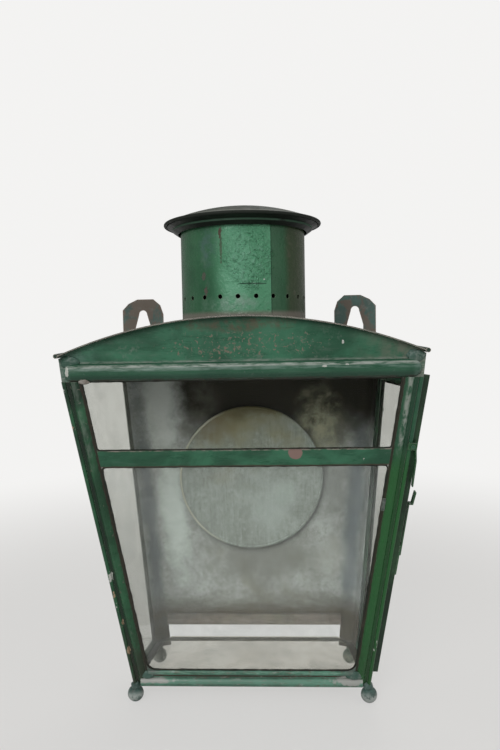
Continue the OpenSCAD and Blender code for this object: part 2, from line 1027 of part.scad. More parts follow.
// The tab folded round the inner edge of the right post.
module post_tab() {
    front_plane()
        translate(concat(on_face(face_x(tab_z), tab_z), 0))
            rotate([0, 0, -corner_turn]) {
                translate([-post_w - clip_t, 0, 0])
                    cube([post_w + clip_t - ridge_in - ridge_half, tab_h, clip_t]);
                translate([-post_w - clip_t, 0, -tin])
                    cube([clip_t, tab_h, tin + clip_t]);
            }
}

module glazing_clips() {
    color("#59645c") {
        for (z = clip_z) {
            face_clip(z);
            left_copy()
                face_clip(z);
        }
        for (z = side_clip_z)
            left_copy()
                side_clip(z);
        post_tab();
    }
}

// ---- Feet ----

module ball_foot(x, y) {
    color("#6f7f78")
        translate([x, y, 0]) {
            translate([0, 0, foot_r])
                sphere(foot_r);
            translate([0, 0, foot_r])
                cylinder(h = base_z - foot_r, r = neck_r);
        }
}

front_foot_x = face_x(base_z) - 1;
front_foot_y = face_y(base_z) + 2;
back_foot_y = wall_y - foot_r - 1;
back_arc_y = back_y - back_corner_r;
back_arc_r = back_corner_r - tin / 2;
back_foot_rise = back_foot_y - back_arc_y;
back_foot_x = back_flat_x(base_z) + sqrt(back_arc_r * back_arc_r - back_foot_rise * back_foot_rise);

module foot_front_left() {
    ball_foot(-front_foot_x, front_foot_y);
}

module foot_front_right() {
    ball_foot(front_foot_x, front_foot_y);
}

module foot_back_left() {
    ball_foot(-back_foot_x, back_foot_y);
}

module foot_back_right() {
    ball_foot(back_foot_x, back_foot_y);
}

// ---- Door ----

door_out = door_gap + door_t;
door_top_z = pane_top_z - door_top_gap;
hinge_y = wall_y - hinge_in;
hinge_lift = door_out + tin - knuckle_r;
door_back_y = hinge_y - knuckle_r - 2 * seat_gap;

function door_front_y(z, inset) = face_y(z) + (door_front_in + inset) / cos(front_lean);

// The door's outline on the side, with every edge drawn in by the same inset.
function door_outline(inset) = [
    on_side(door_front_y(door_bottom_z + inset, inset), door_bottom_z + inset),
    on_side(door_back_y - inset, door_bottom_z + inset),
    on_side(door_back_y - inset, door_top_z - inset),
    on_side(door_front_y(door_top_z - inset, inset), door_top_z - inset)
];

module door_frame() {
    difference() {
        side_sheet(door_outline(0), door_gap, door_out);
        side_sheet(door_outline(door_frame_w), door_gap - 1, door_out + 1);
        side_sheet(door_outline(tin), door_gap + tin, door_out - tin);
        side_sheet(door_outline(door_lip), door_gap - 1, door_gap + 2 * tin);
    }
}

// Keeps the part of the frame that lies in a band of the door.
module door_zone(front_low, front_high, back_low, back_high, low, high) {
    intersection() {
        door_frame();
        side_sheet([
            on_side(front_low, low),
            on_side(back_low, low),
            on_side(back_high, high),
            on_side(front_high, high)
        ], door_gap - 1, door_out + 1);
    }
}

module door_stile_front() {
    low = door_bottom_z - 1;
    high = door_top_z + 1;
    color("#23492f")
        door_zone(door_front_y(low, -1), door_front_y(high, -1),
                  door_front_y(low, door_frame_w), door_front_y(high, door_frame_w), low, high);
}

module door_stile_back() {
    low = door_bottom_z - 1;
    high = door_top_z + 1;
    color("#23492f")
        door_zone(door_back_y - door_frame_w, door_back_y - door_frame_w,
                  door_back_y + 1, door_back_y + 1, low, high);
}

module door_rail(low, high) {
    color("#23492f")
        door_zone(door_front_y(low, door_frame_w), door_front_y(high, door_frame_w),
                  door_back_y - door_frame_w, door_back_y - door_frame_w, low, high);
}

module door_rail_top() {
    door_rail(door_top_z - door_frame_w, door_top_z + 1);
}

module door_rail_bottom() {
    door_rail(door_bottom_z - 1, door_bottom_z + door_frame_w);
}

module door_glass() {
    middle = (door_gap + door_out) / 2;
    color("#b9c4c0", 0.4)
        side_sheet(door_outline(door_frame_w - glass_lap), middle - glass_t / 2,
                   middle + glass_t / 2);
}

// Places children on the hinge axis at a height: x to the back, y outwards, z up.
module hinge_at(z) {
    translate([side_x(hinge_y, z), hinge_y, z] + hinge_lift * side_normal)
        rotate([0, side_lean, 0])
            rotate([0, 0, side_toe + 90])
                mirror([0, 1, 0])
                    children();
}

module knuckle(low, high) {
    translate([0, 0, low])
        linear_extrude(high - low)
            difference() {
                children();
                circle(pin_r + pin_clear);
            }
}

module door_leaf_section() {
    circle(knuckle_r);
    translate([-door_leaf_w, knuckle_r - tin])
        square([door_leaf_w, tin]);
}

module frame_leaf_section() {
    circle(knuckle_r);
    translate([-tin, -hinge_lift])
        square([2 * tin, hinge_lift]);
    translate([-tin, -hinge_lift])
        square([frame_leaf_w, tin]);
}

knuckle_split = 0.4;
knuckle_end = hinge_len / 6 + knuckle_split / 2;

module hinge_door_leaves() {
    color("#31543f")
        for (z = [hinge_low_z, hinge_high_z])
            hinge_at(z)
                knuckle(knuckle_split - knuckle_end, knuckle_end - knuckle_split)
                    door_leaf_section();
}

module hinge_frame_leaves() {
    color("#31543f")
        for (z = [hinge_low_z, hinge_high_z])
            hinge_at(z) {
                knuckle(knuckle_end, hinge_len / 2)
                    frame_leaf_section();
                knuckle(-hinge_len / 2, -knuckle_end)
                    frame_leaf_section();
            }
}

module hinge_pins() {
    color("#6d6f6b")
        for (z = [hinge_low_z, hinge_high_z])
            hinge_at(z) {
                translate([0, 0, -hinge_len / 2])
                    cylinder(h = hinge_len + pin_head_h / 2, r = pin_r);
                translate([0, 0, hinge_len / 2])
                    cylinder(h = pin_head_h, r = pin_head_r);
            }
}

module hinge_rivets() {
    color("#6b6a63")
        for (z = [hinge_low_z, hinge_high_z])
            hinge_at(z)
                translate([leaf_rivet_in - door_leaf_w, knuckle_r, 0])
                    rotate([-90, 0, 0])
                        cylinder(h = rivet_head_h, r = door_rivet_r);
}

// ---- Catch ----

catch_face = door_out;
catch_edge = catch_face + strip_t;
catch_root_z = catch_plate_z + catch_plate_h - catch_lap;

// A point on the door's outer face, behind its front edge.
function catch_point(inset, z) = on_side(door_front_y(z, inset), z);

module catch_plate() {
    low = catch_plate_z;
    high = catch_plate_z + catch_plate_h;
    color("#2b6b41")
        side_sheet([
            catch_point(0, low),
            catch_point(catch_plate_w, low),
            catch_point(catch_plate_w, high),
            catch_point(0, high)
        ], catch_face, catch_edge);
}

module catch_rivets() {
    color("#6b6a63")
        for (z = [catch_plate_z + catch_rivet_drop, catch_plate_z + catch_plate_h - catch_rivet_drop])
            side_plane()
                translate(concat(catch_point(catch_plate_w - catch_rivet_in, z), catch_edge))
                    cylinder(h = rivet_head_h, r = door_rivet_r);
}

// The spring strip stands on the plate and ends in a lip for the thumb.
module catch_spring() {
    jog = catch_len;
    rise = seat_gap + strip_t;
    color("#2f7446")
        side_plane()
            translate(concat(catch_point(1, catch_root_z), catch_edge))
                rotate([0, 0, front_lean])
                    rotate([90, 0, 90])
                        linear_extrude(strip_w)
                            polygon([
                                [0, seat_gap],
                                [jog, seat_gap],
                                [jog + strip_t, rise],
                                [jog + strip_t, lip_out],
                                [jog + lip_h, lip_out + strip_t],
                                [jog + lip_h, lip_out + 2 * strip_t],
                                [jog, lip_out + strip_t],
                                [jog, rise],
                                [0, rise]
                            ]);
}

// Places children along the right front corner: x outwards, y up, z to the front.
module corner_at(z) {
    front_plane()
        translate(concat(on_face(face_x(z), z), 0))
            rotate([0, 0, -corner_turn])
                children();
}

bead_front = corner_bead_r + seat_gap;

module catch_keeper() {
    color("#2f7446")
        corner_at(keeper_top_z) {
            translate([-2 * corner_bead_r, -keeper_foot_h, bead_front])
                cube([2 * corner_bead_r + keeper_foot_out, keeper_foot_h, strip_t]);
            translate([0, 0, bead_front + strip_t - keeper_w])
                linear_extrude(keeper_w)
                    polygon([
                        [keeper_foot_out - strip_t, 0],
                        [keeper_foot_out, 0],
                        [keeper_foot_out, -keeper_foot_h],
                        [keeper_tip_out, -keeper_foot_h - keeper_slope_h],
                        [keeper_tip_out + 1, -keeper_len],
                        [keeper_tip_out + 1 - strip_t, -keeper_len],
                        [keeper_tip_out - strip_t, -keeper_foot_h - keeper_slope_h],
                        [keeper_foot_out - strip_t, -keeper_foot_h]
                    ]);
        }
}

module keeper_rivet() {
    color("#7a4a35")
        corner_at(keeper_top_z)
            translate([corner_bead_r / 4, -keeper_foot_h / 2, bead_front + strip_t])
                cylinder(h = rivet_head_h, r = door_rivet_r);
}

front_post_left();
front_post_right();
top_rail();
front_gable();
glazing_bar();
bottom_rail();
roof_sheet();
eave_bead_left();
eave_bead_right();
chimney_collar();
chimney_tube();
inner_flue();
cap_skirt();
cap_straps();
cap_dome();
back_plate();
reflector();
reflector_studs();
lug_left();
lug_right();
lug_rivets();
back_sill();
side_rail_left();
side_rail_right();
base_rail_left();
base_rail_right();
base_ledge();
glass_upper();
glass_lower();
glass_left();
glass_bottom();
glazing_clips();
foot_front_left();
foot_front_right();
foot_back_left();
foot_back_right();
door_stile_front();
door_stile_back();
door_rail_top();
door_rail_bottom();
door_glass();
hinge_frame_leaves();
hinge_door_leaves();
hinge_pins();
hinge_rivets();
catch_plate();
catch_rivets();
catch_spring();
catch_keeper();
keeper_rivet();
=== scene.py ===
import bmesh
import bpy
import math
from mathutils import Matrix, Quaternion, Vector, noise


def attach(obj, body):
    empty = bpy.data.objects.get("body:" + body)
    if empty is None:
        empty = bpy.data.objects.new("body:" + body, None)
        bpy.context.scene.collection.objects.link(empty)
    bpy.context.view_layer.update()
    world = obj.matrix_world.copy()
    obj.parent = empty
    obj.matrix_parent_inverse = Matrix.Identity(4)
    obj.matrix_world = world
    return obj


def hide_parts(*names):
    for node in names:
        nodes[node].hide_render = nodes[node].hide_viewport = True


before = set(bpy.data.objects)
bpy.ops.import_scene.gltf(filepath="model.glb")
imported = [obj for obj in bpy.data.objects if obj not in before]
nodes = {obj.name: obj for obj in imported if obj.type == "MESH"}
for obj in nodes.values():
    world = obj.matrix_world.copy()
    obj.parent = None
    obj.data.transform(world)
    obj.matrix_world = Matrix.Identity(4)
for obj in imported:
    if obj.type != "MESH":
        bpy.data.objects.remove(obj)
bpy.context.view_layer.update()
print("frame loaded,", len(nodes), "nodes")

# ---- camera, floor and light ----

cameraView = {
    "place": (0.03985, -0.7591, 0.4401),
    "look": (-0.0452, 0.9972, -0.0599),
    "roll": -1.066,                      # degrees about the line of sight
    "lens": 31.27,
    "film": 36,
    "nearest": 0.01,
}

camData = bpy.data.cameras.new("camera")
camData.lens = cameraView["lens"]
camData.sensor_width = cameraView["film"]
camData.clip_start = cameraView["nearest"]
cam = bpy.data.objects.new("camera", camData)
cam.location = cameraView["place"]
cam.rotation_mode = "QUATERNION"
aim = Vector(cameraView["look"]).to_track_quat("-Z", "Y")
cam.rotation_quaternion = aim @ Quaternion((0, 0, 1), math.radians(cameraView["roll"]))
bpy.context.scene.collection.objects.link(cam)
bpy.context.scene.camera = cam
bpy.context.scene.view_settings.view_transform = "Standard"

studio = {
    "lamps": {                           # place, power and size of each
        "keyLamp": ((-0.75, -2.2, 1.55), 30, 1.3),
        "fillLamp": ((1.9, -1.2, 1.1), 7, 1.6),
        "backLamp": ((0.4, 1.7, 2.7), 20, 1.4),
    },
    "lampAim": (0, 0, 0.3),
    "skyLevel": 0.34,
    "skyTone": (1.0, 0.985, 0.96, 1),
    "floorTone": (0.5, 0.49, 0.47, 1),
    "wallTone": (0.9, 0.895, 0.885, 1),
    "floorRadius": 6.0, "floorRough": 0.9, "floorShine": 0.1,
    "floorGlow": 0.6,                    # share of the backdrop's own tone near the object
    "glowFrom": 0.45, "glowTo": 1.5,     # where that share starts to rise, and is whole
}

for name, (place, power, size) in studio["lamps"].items():
    data = bpy.data.lights.new(name, "AREA")
    data.energy = power
    data.size = size
    lamp = bpy.data.objects.new(name, data)
    lamp.location = place
    toward = Vector(studio["lampAim"]) - Vector(place)
    lamp.rotation_euler = toward.to_track_quat("-Z", "Y").to_euler()
    bpy.context.scene.collection.objects.link(lamp)

# ---- node helpers ----


# The node tree of the first socket among the values.
def treeOf(*values):
    return next(v.id_data for v in values if isinstance(v, bpy.types.NodeSocket))


def fill(node, inputs):
    for key, value in inputs.items():
        if isinstance(value, bpy.types.NodeSocket):
            node.id_data.links.new(value, node.inputs[key])
        else:
            node.inputs[key].default_value = value


def add(tree, kind, inputs=None, output=0, **settings):
    made = tree.nodes.new("ShaderNode" + kind)
    for key, value in settings.items():
        setattr(made, key, value)
    fill(made, inputs or {})
    return made.outputs[output]


def maths(operation, a, b=0.0):
    return add(treeOf(a, b), "Math", {0: a, 1: b}, operation=operation)


def plus(a, b):
    return maths("ADD", a, b)


def minus(a, b):
    return maths("SUBTRACT", a, b)


def times(a, b):
    return maths("MULTIPLY", a, b)


def vectors(operation, a, b=(0, 0, 0), output=0):
    return add(treeOf(a), "VectorMath", {0: a, 1: b}, output, operation=operation)


def axes(place):                         # x, y and z apart
    parts = treeOf(place).nodes.new("ShaderNodeSeparateXYZ")
    fill(parts, {0: place})
    return parts.outputs["X"], parts.outputs["Y"], parts.outputs["Z"]


def mixColour(factor, a, b):
    return add(treeOf(factor, a, b), "Mix", {0: factor, 6: a, 7: b}, output=2,
               data_type="RGBA")


def tinted(colour, mask, share, tint):
    return mixColour(times(mask, share), colour, tint)


# From bottom at low to top at high; low may be the greater of the two.
def rise(value, low, high, top=1.0, bottom=0.0):
    return add(treeOf(value), "MapRange", {"Value": value, "From Min": low, "From Max": high,
                                           "To Min": bottom, "To Max": top},
               interpolation_type="SMOOTHSTEP")


def band(value, low, high, soft):
    return times(rise(value, low - soft, low + soft), rise(value, high + soft, high - soft))


def speckle(vector, scale, detail=4.0, rough=0.55, distort=0.0):
    return add(treeOf(vector), "TexNoise", {"Vector": vector, "Scale": scale, "Detail": detail,
                                            "Roughness": rough, "Distortion": distort})


def broken(vector, scale, low=0.35, high=0.62, rough=0.68, detail=6.0):
    return rise(speckle(vector, scale, detail, rough), low, high)


def stretched(vector, x, y, z):
    return add(treeOf(vector), "Mapping", {"Vector": vector, "Scale": (x, y, z)})


def mixShaders(share, first, second):
    return add(treeOf(share), "MixShader", {0: share, 1: first, 2: second})


def newMaterial(name):
    mat = bpy.data.materials.new(name)
    mat.use_nodes = True
    tree = mat.node_tree
    tree.nodes.clear()
    target = tree.nodes.new("ShaderNodeOutputMaterial")
    shader = tree.nodes.new("ShaderNodeBsdfPrincipled")
    fill(target, {0: shader.outputs[0]})
    place = add(tree, "TexCoord", output="Object")
    return mat, tree, shader, place, target


def bumpTo(shader, height, strength, distance):
    normal = add(shader.id_data, "Bump", {"Strength": strength, "Distance": distance,
                                          "Height": height})
    fill(shader, {"Normal": normal})


# An input is a number, a tint of four values or, given as None or three values, a vector.
def newGroup(name, inputs, outputs):
    tree = bpy.data.node_groups.new(name, "ShaderNodeTree")
    for label, value in inputs.items():
        kind = "Color" if isinstance(value, tuple) and len(value) == 4 else "Vector"
        kind = "Float" if isinstance(value, float) else kind
        socket = tree.interface.new_socket(label, in_out="INPUT", socket_type="NodeSocket" + kind)
        if value is not None:
            socket.default_value = value
    for label in outputs:
        kind = "Color" if label == "Color" else "Float"
        tree.interface.new_socket(label, in_out="OUTPUT", socket_type="NodeSocket" + kind)
    source = tree.nodes.new("NodeGroupInput")
    target = tree.nodes.new("NodeGroupOutput")
    return tree, source.outputs, target.inputs


# The values of a look under the names of a group's inputs.
def named(look, *keys):
    return {key.title(): look[key] for key in keys}


def useGroup(group, **values):
    made = treeOf(*values.values()).nodes.new("ShaderNodeGroup")
    made.node_tree = group
    fill(made, values)
    return made.outputs


# ---- shared effects ----

# Noise has its scale, detail, roughness and distortion, without a scale where the group has
# an input for it. A level is where an effect starts and where it is whole.
edgeLook = {"samples": 4, "noise": (5.0, 0.62), "gain": 3.0, "start": 1.08,
            "level": (0.38, 0.52)}


# Where a hand would rub: outside edges and corners, broken up by noise.
def makeEdgeWear():
    tree, given, out = newGroup(
        "edgeWear", {"Vector": None, "Width": 0.0016, "Patchy": 60.0, "Amount": 0.5}, ["Mask"])
    rounded = add(tree, "Bevel", {"Radius": given["Width"]}, samples=edgeLook["samples"])
    flat = add(tree, "NewGeometry", output="Normal")
    alike = vectors("DOT_PRODUCT", rounded, flat, "Value")
    patches = speckle(given["Vector"], given["Patchy"], *edgeLook["noise"])
    bend = times(minus(1.0, alike), edgeLook["gain"])
    level = plus(bend, minus(patches, edgeLook["start"]))
    level = plus(level, given["Amount"])
    tree.links.new(rise(level, *edgeLook["level"]), out["Mask"])
    return tree


grimeLook = {"samples": 6, "noise": (70.0, 5.0, 0.6), "least": 0.35, "level": (0.1, 0.75)}


# Dust and grime that gathers in corners and along joints, found from how closed in each point is,
# so that it also paints shade into corners and recesses.
def makeShadeDust():
    tree, given, out = newGroup(
        "grime", {"Vector": None, "Reach": 0.012, "Amount": 0.6}, ["Mask"])
    clearance = add(tree, "AmbientOcclusion", {"Distance": given["Reach"]}, output="AO",
                    samples=grimeLook["samples"], only_local=True)
    cloud = speckle(given["Vector"], *grimeLook["noise"])
    depth = times(minus(1.0, clearance), plus(cloud, grimeLook["least"]))
    mask = times(rise(depth, *grimeLook["level"]), given["Amount"])
    tree.links.new(mask, out["Mask"])
    return tree


spotLook = {"noise": (4.0, 0.6), "gain": 4.0, "outer": 1.05}


# One worn place: a ragged spot round a point, in metres.
def makeWornSpot():
    tree, given, out = newGroup(
        "wornSpot", {"Vector": None, "Centre": None, "Size": (0.01, 0.01, 0.01), "Ragged": 0.6,
                     "Grain": 260.0, "Soft": 0.12}, ["Mask"])
    away = vectors("SUBTRACT", given["Vector"], given["Centre"])
    away = vectors("LENGTH", vectors("DIVIDE", away, given["Size"]), output="Value")
    ragged = speckle(given["Vector"], given["Grain"], *spotLook["noise"])
    ragged = times(minus(ragged, 0.5), times(given["Ragged"], spotLook["gain"]))
    inner = minus(spotLook["outer"], given["Soft"])
    tree.links.new(rise(plus(away, ragged), spotLook["outer"], inner), out["Mask"])
    return tree


agedLook = {
    "drift": {"noise": (17.0, 5.0, 0.6, 0.6), "level": (0.36, 0.66), "height": 0.6},
    "brush": {"noise": (3.0, 6.0, 0.68), "pale": (0.52, 0.8), "paleShare": 0.3,
              "deep": (0.5, 0.3), "deepShare": 0.6, "dull": (0.4, 0.75), "rough": 0.2,
              "height": 0.5},
    "pits": {"noise": (900.0, 3.0, 0.7), "level": (0.62, 0.8), "share": 0.25, "height": 0.12},
    "scuffs": {"noise": (210.0, 6.0, 0.72, 0.4), "field": (34.0, 4.0, 0.5), "fieldShare": 0.55,
               "gain": 0.34, "level": (0.96, 1.2), "share": 0.6, "rough": 0.28},
    "flakes": {"noise": (5.0, 0.66, 0.7), "gain": 0.22, "level": (0.72, 0.735),
               "rimIn": (0.7, 0.722), "rimOut": (0.722, 0.735), "rimShare": 0.7,
               "rough": 0.25, "height": 0.3},
}


# Aged oil paint on tin: tone that drifts, brush streaks, small chips and fine pitting.
def makeAgedPaint():
    tree, given, out = newGroup(
        "agedPaint", {"Vector": None, "Paint": (0.05, 0.13, 0.08, 1),
                      "Deep": (0.02, 0.06, 0.035, 1), "Pale": (0.25, 0.3, 0.26, 1),
                      "Bare": (0.22, 0.2, 0.17, 1), "Streak": (40.0, 40.0, 9.0), "Chips": 0.3,
                      "Grain": 130.0, "Scuff": 0.3, "Gloss": 0.3},
        ["Color", "Roughness", "Height"])
    place, pale = given["Vector"], given["Pale"]
    drifting, brushed, pitted, scuffed, flaked = agedLook.values()
    drift = speckle(place, *drifting["noise"])
    tone = mixColour(rise(drift, *drifting["level"]), given["Deep"], given["Paint"])
    brush = speckle(vectors("MULTIPLY", place, given["Streak"]), *brushed["noise"])
    tone = tinted(tone, rise(brush, *brushed["pale"]), brushed["paleShare"], pale)
    tone = tinted(tone, rise(brush, *brushed["deep"]), brushed["deepShare"], given["Deep"])
    pits = speckle(place, *pitted["noise"])
    tone = tinted(tone, rise(pits, *pitted["level"]), pitted["share"], pale)
    field = times(speckle(place, *scuffed["field"]), scuffed["fieldShare"])
    scuffs = plus(speckle(place, *scuffed["noise"]), field)
    scuffs = plus(scuffs, times(given["Scuff"], scuffed["gain"]))
    scuffs = rise(scuffs, *scuffed["level"])
    tone = tinted(tone, scuffs, scuffed["share"], pale)
    flakes = plus(speckle(place, given["Grain"], *flaked["noise"]),
                  times(given["Chips"], flaked["gain"]))
    rim = minus(rise(flakes, *flaked["rimIn"]), rise(flakes, *flaked["rimOut"]))
    flakes = rise(flakes, *flaked["level"])
    tone = tinted(tone, rim, flaked["rimShare"], pale)
    tone = mixColour(flakes, tone, given["Bare"])
    tree.links.new(tone, out["Color"])
    dull = plus(given["Gloss"], times(scuffs, scuffed["rough"]))
    dull = plus(dull, times(rise(brush, *brushed["dull"]), brushed["rough"]))
    tree.links.new(plus(dull, times(flakes, flaked["rough"])), out["Roughness"])
    lump = plus(times(drift, drifting["height"]), times(brush, brushed["height"]))
    lump = plus(lump, times(pits, pitted["height"]))
    tree.links.new(minus(lump, times(flakes, flaked["height"])), out["Height"])
    return tree


cloudyLook = {
    "clouds": {"noise": (26.0, 7.0, 0.66, 0.5), "level": (0.22, 0.78), "rough": 0.3},
    "spots": {"noise": (210.0, 6.0, 0.75), "light": (0.5, 0.68), "dark": (0.5, 0.34),
              "share": 0.8, "height": 0.25},
    "marks": {"noise": (12.0, 6.0, 0.6, 0.8), "gain": 0.3, "level": (0.6, 0.85), "share": 0.7},
    "rough": 0.42,
}


# Old tinned sheet: cloudy grey with stains.
def makeCloudyTin():
    tree, given, out = newGroup(
        "cloudyTin", {"Vector": None, "Light": (0.55, 0.58, 0.56, 1),
                      "Dark": (0.32, 0.34, 0.32, 1), "Stain": (0.2, 0.19, 0.13, 1),
                      "Stained": 0.3}, ["Color", "Roughness", "Height"])
    place = given["Vector"]
    clouded, spotted, marked, rough = cloudyLook.values()
    clouds = speckle(place, *clouded["noise"])
    tone = mixColour(rise(clouds, *clouded["level"]), given["Dark"], given["Light"])
    spots = speckle(place, *spotted["noise"])
    for shade in ("light", "dark"):
        tone = tinted(tone, rise(spots, *spotted[shade]), spotted["share"], given[shade.title()])
    marks = plus(speckle(place, *marked["noise"]), times(given["Stained"], marked["gain"]))
    tone = tinted(tone, rise(marks, *marked["level"]), marked["share"], given["Stain"])
    tree.links.new(tone, out["Color"])
    tree.links.new(plus(rough, times(clouds, clouded["rough"])), out["Roughness"])
    tree.links.new(plus(clouds, times(spots, spotted["height"])), out["Height"])
    return tree


wrinkleLook = {"bend": (130.0, 3.0), "bendBy": 0.01, "folds": (180.0, 5.0, 0.6, 1.2),
               "height": 0.9}


# Thick paint that has shrunk into wrinkles.
def makeWrinkles():
    tree, given, out = newGroup("wrinkles", {"Vector": None, "Cells": 260.0}, ["Height"])
    scale, detail = wrinkleLook["bend"]
    bent = add(tree, "TexNoise", {"Vector": given["Vector"], "Scale": scale, "Detail": detail},
               output="Color")
    bent = add(tree, "VectorMath", {0: bent, "Scale": wrinkleLook["bendBy"]},
               operation="SCALE")
    bent = vectors("ADD", given["Vector"], bent)
    cells = add(tree, "TexVoronoi", {"Vector": bent, "Scale": given["Cells"]},
                output="Distance", feature="SMOOTH_F1")
    folds = times(speckle(bent, *wrinkleLook["folds"]), wrinkleLook["height"])
    tree.links.new(plus(cells, folds), out["Height"])
    return tree


edgeWear, grime, wornSpot = makeEdgeWear(), makeShadeDust(), makeWornSpot()
agedPaint, cloudyTin, wrinkles = makeAgedPaint(), makeCloudyTin(), makeWrinkles()
print("shared effects made")

# ---- finishes ----


def spotAt(place, centre, size, ragged=0.6, grain=260, soft=0.12):
    return useGroup(wornSpot, Vector=place, Centre=centre, Size=size, Ragged=ragged,
                    Grain=grain, Soft=soft)["Mask"]


# A mark lies where its fades, bands and spot meet. Its grain breaks it up, and is drawn
# out along the piece where the mark says so.
def maskOf(place, along, mark):
    mask = mark.get("share", 1)
    for measure, low, high in mark.get("fades", ()):
        mask = times(mask, rise(along[measure], low, high))
    for measure, low, high, soft in mark.get("bands", ()):
        mask = times(mask, band(along[measure], low, high, soft))
    if "spot" in mark:
        mask = times(mask, spotAt(place, *mark["spot"]))
    if "grain" in mark:
        drawn = stretched(place, *mark["drawn"]) if "drawn" in mark else place
        mask = times(mask, broken(drawn, *mark["grain"]))
    return mask


paintKeys = ("paint", "deep", "pale", "bare", "streak", "grain", "scuff", "gloss")


# Paint with its own marks. A relief adds measures for the marks to use, and may raise the
# surface.
def paintMaterial(name, look, relief=None):
    mat, tree, shader, place, target = newMaterial(name)
    chips = look["chips"]
    if "chipZone" in look:               # more chips round one place
        spot, most = look["chipZone"]
        chips = rise(spotAt(place, *spot), 0, 1, most, look["chips"])
    paint = useGroup(agedPaint, Vector=place, Chips=chips, **named(look, *paintKeys))
    colour, height = paint["Color"], paint["Height"]
    x, y, z = axes(place)
    along = {"X": x, "Y": y, "Z": z, "aside": maths("ABSOLUTE", x)}
    if relief:
        height = relief(place, along, height)
    for mark in look["marks"]:
        colour = mixColour(maskOf(place, along, mark), colour, mark["tint"])
    # dark dust and painted shade in corners and along joints
    dustShade = useGroup(grime, Vector=place, Reach=look["dustShadeReach"], Amount=look["dustShade"])["Mask"]
    colour = mixColour(dustShade, colour, look["dustShadeTint"])
    if look["edge"]:
        worn = useGroup(edgeWear, Vector=place, Width=look["edgeWidth"],
                        Amount=look["edge"])["Mask"]
        colour = tinted(colour, worn, look["edgeShare"], look["edgeTint"])
    for centre, size, tint in look["chipped"]:
        mask = spotAt(place, centre, size)
        colour = mixColour(mask, colour, tint)
        height = minus(height, times(mask, look["chipDepth"]))
    fill(shader, {"Base Color": colour, "Roughness": paint["Roughness"],
                  "Specular IOR Level": look["shine"]})
    bumpTo(shader, height, look["bump"], look["bumpDepth"])
    return mat


chalk = (0.5, 0.52, 0.48, 1)
primer = (0.27, 0.175, 0.155, 1)
sand = (0.36, 0.26, 0.17, 1)
rust = (0.075, 0.048, 0.032, 1)

# "chipped" lists lost flakes, each with its centre, size and tint.
greenLook = {
    "paint": (0.04, 0.136, 0.076, 1), "deep": (0.021, 0.083, 0.046, 1),
    "pale": (0.15, 0.21, 0.175, 1), "bare": (0.15, 0.12, 0.085, 1),
    "streak": (9, 40, 40), "chips": 0, "grain": 130, "scuff": 0.1,
    "gloss": 0.27, "shine": 0.24, "bump": 0.3, "bumpDepth": 0.0012,
    "dustShade": 0.85, "dustShadeReach": 0.006, "dustShadeTint": (0.01, 0.014, 0.009, 1),
    "edge": 0.2, "edgeWidth": 0.0013, "edgeShare": 0.85, "edgeTint": (0.24, 0.26, 0.22, 1),
    "chipDepth": 0.25, "chipped": [], "marks": [],
}
greenPaint = paintMaterial("greenPaint", greenLook)

# The gable has weathered to a bluish grey at its left end and a brown grey at its right.
gablePaint = paintMaterial("gablePaint", greenLook | {
    "paint": (0.043, 0.162, 0.093, 1), "streak": (7, 30, 34),
    "chipZone": (((0.005, -0.096, 0.431), (0.135, 0.02, 0.023), 0.2, 40, 0.8), 0.62),
    "grain": 260, "bare": (0.185, 0.15, 0.11, 1), "pale": (0.17, 0.21, 0.175, 1),
    "scuff": 0.36, "chipped": [((0.1045, -0.0965, 0.4322), (0.0013, 0.005, 0.0018), chalk)],
    "marks": [
        {"fades": [("X", -0.135, -0.175)], "grain": (60,), "share": 0.6,
         "tint": (0.12, 0.2, 0.17, 1)},
        {"fades": [("X", 0.10, 0.178)], "grain": (60,), "share": 0.7,
         "tint": (0.17, 0.16, 0.13, 1)},
        {"spot": ((0, -0.096, 0.452), (0.07, 0.02, 0.008), 0.5, 60, 0.7),
         "grain": (160,), "share": 0.75, "tint": (0.1, 0.075, 0.05, 1)},
        # painted highlight with pale wear along the crease above the top bar
        {"fades": [("Z", 0.4175, 0.4150)], "grain": (3,), "drawn": (40, 40, 300),
         "share": 0.6, "tint": (0.3, 0.32, 0.29, 1)}]})

# The round bar under it has a broken pale line along its crown, rubbed wear and painted highlight
# in one, a painted mid-tone band below it, and painted shade over its lower part.
railPaint = paintMaterial("railPaint", greenLook | {
    "paint": (0.036, 0.114, 0.067, 1), "scuff": 0.2, "edge": 0.15, "gloss": 0.24,
    "pale": (0.13, 0.19, 0.16, 1), "streak": (8, 90, 90),
    "chipped": [((0.0850, -0.103, 0.4085), (0.0024, 0.02, 0.0009), chalk),
                ((0.1080, -0.103, 0.4100), (0.0018, 0.02, 0.0009), chalk),
                ((-0.1775, -0.100, 0.4065), (0.0020, 0.02, 0.0045), chalk)],
    "marks": [
        # painted shade: the lower part of the bar darker
        {"fades": [("Z", 0.4045, 0.4005)], "share": 0.6, "tint": (0.018, 0.05, 0.034, 1)},
        # painted highlight mixed with rubbed wear: a mid-tone band, then the pale line near the
        # crown
        {"bands": [("Z", 0.4062, 0.4105, 0.001)], "grain": (1.6, 0.4, 0.6),
         "drawn": (30, 60, 190), "share": 0.5, "tint": (0.17, 0.26, 0.22, 1)},
        {"bands": [("Z", 0.4098, 0.4127, 0.0008)], "grain": (1.9, 0.34, 0.62),
         "drawn": (30, 60, 190), "share": 0.85, "tint": (0.42, 0.46, 0.42, 1)},
        {"fades": [("Z", 0.3990, 0.3972)], "grain": (90,), "share": 0.8,
         "tint": (0.04, 0.03, 0.022, 1)},
        {"fades": [("aside", 0.172, 0.181)], "grain": (90, 0.3, 0.6), "share": 0.5,
         "tint": (0.17, 0.26, 0.22, 1)}]})

barWave = {"noise": (60, 5, 0.6), "reach": 0.0024}   # the ragged lower line of the bar


def barRelief(place, along, height):
    wave = times(speckle(place, *barWave["noise"]), barWave["reach"])
    along["wavy"] = plus(along["Z"], wave)
    return height


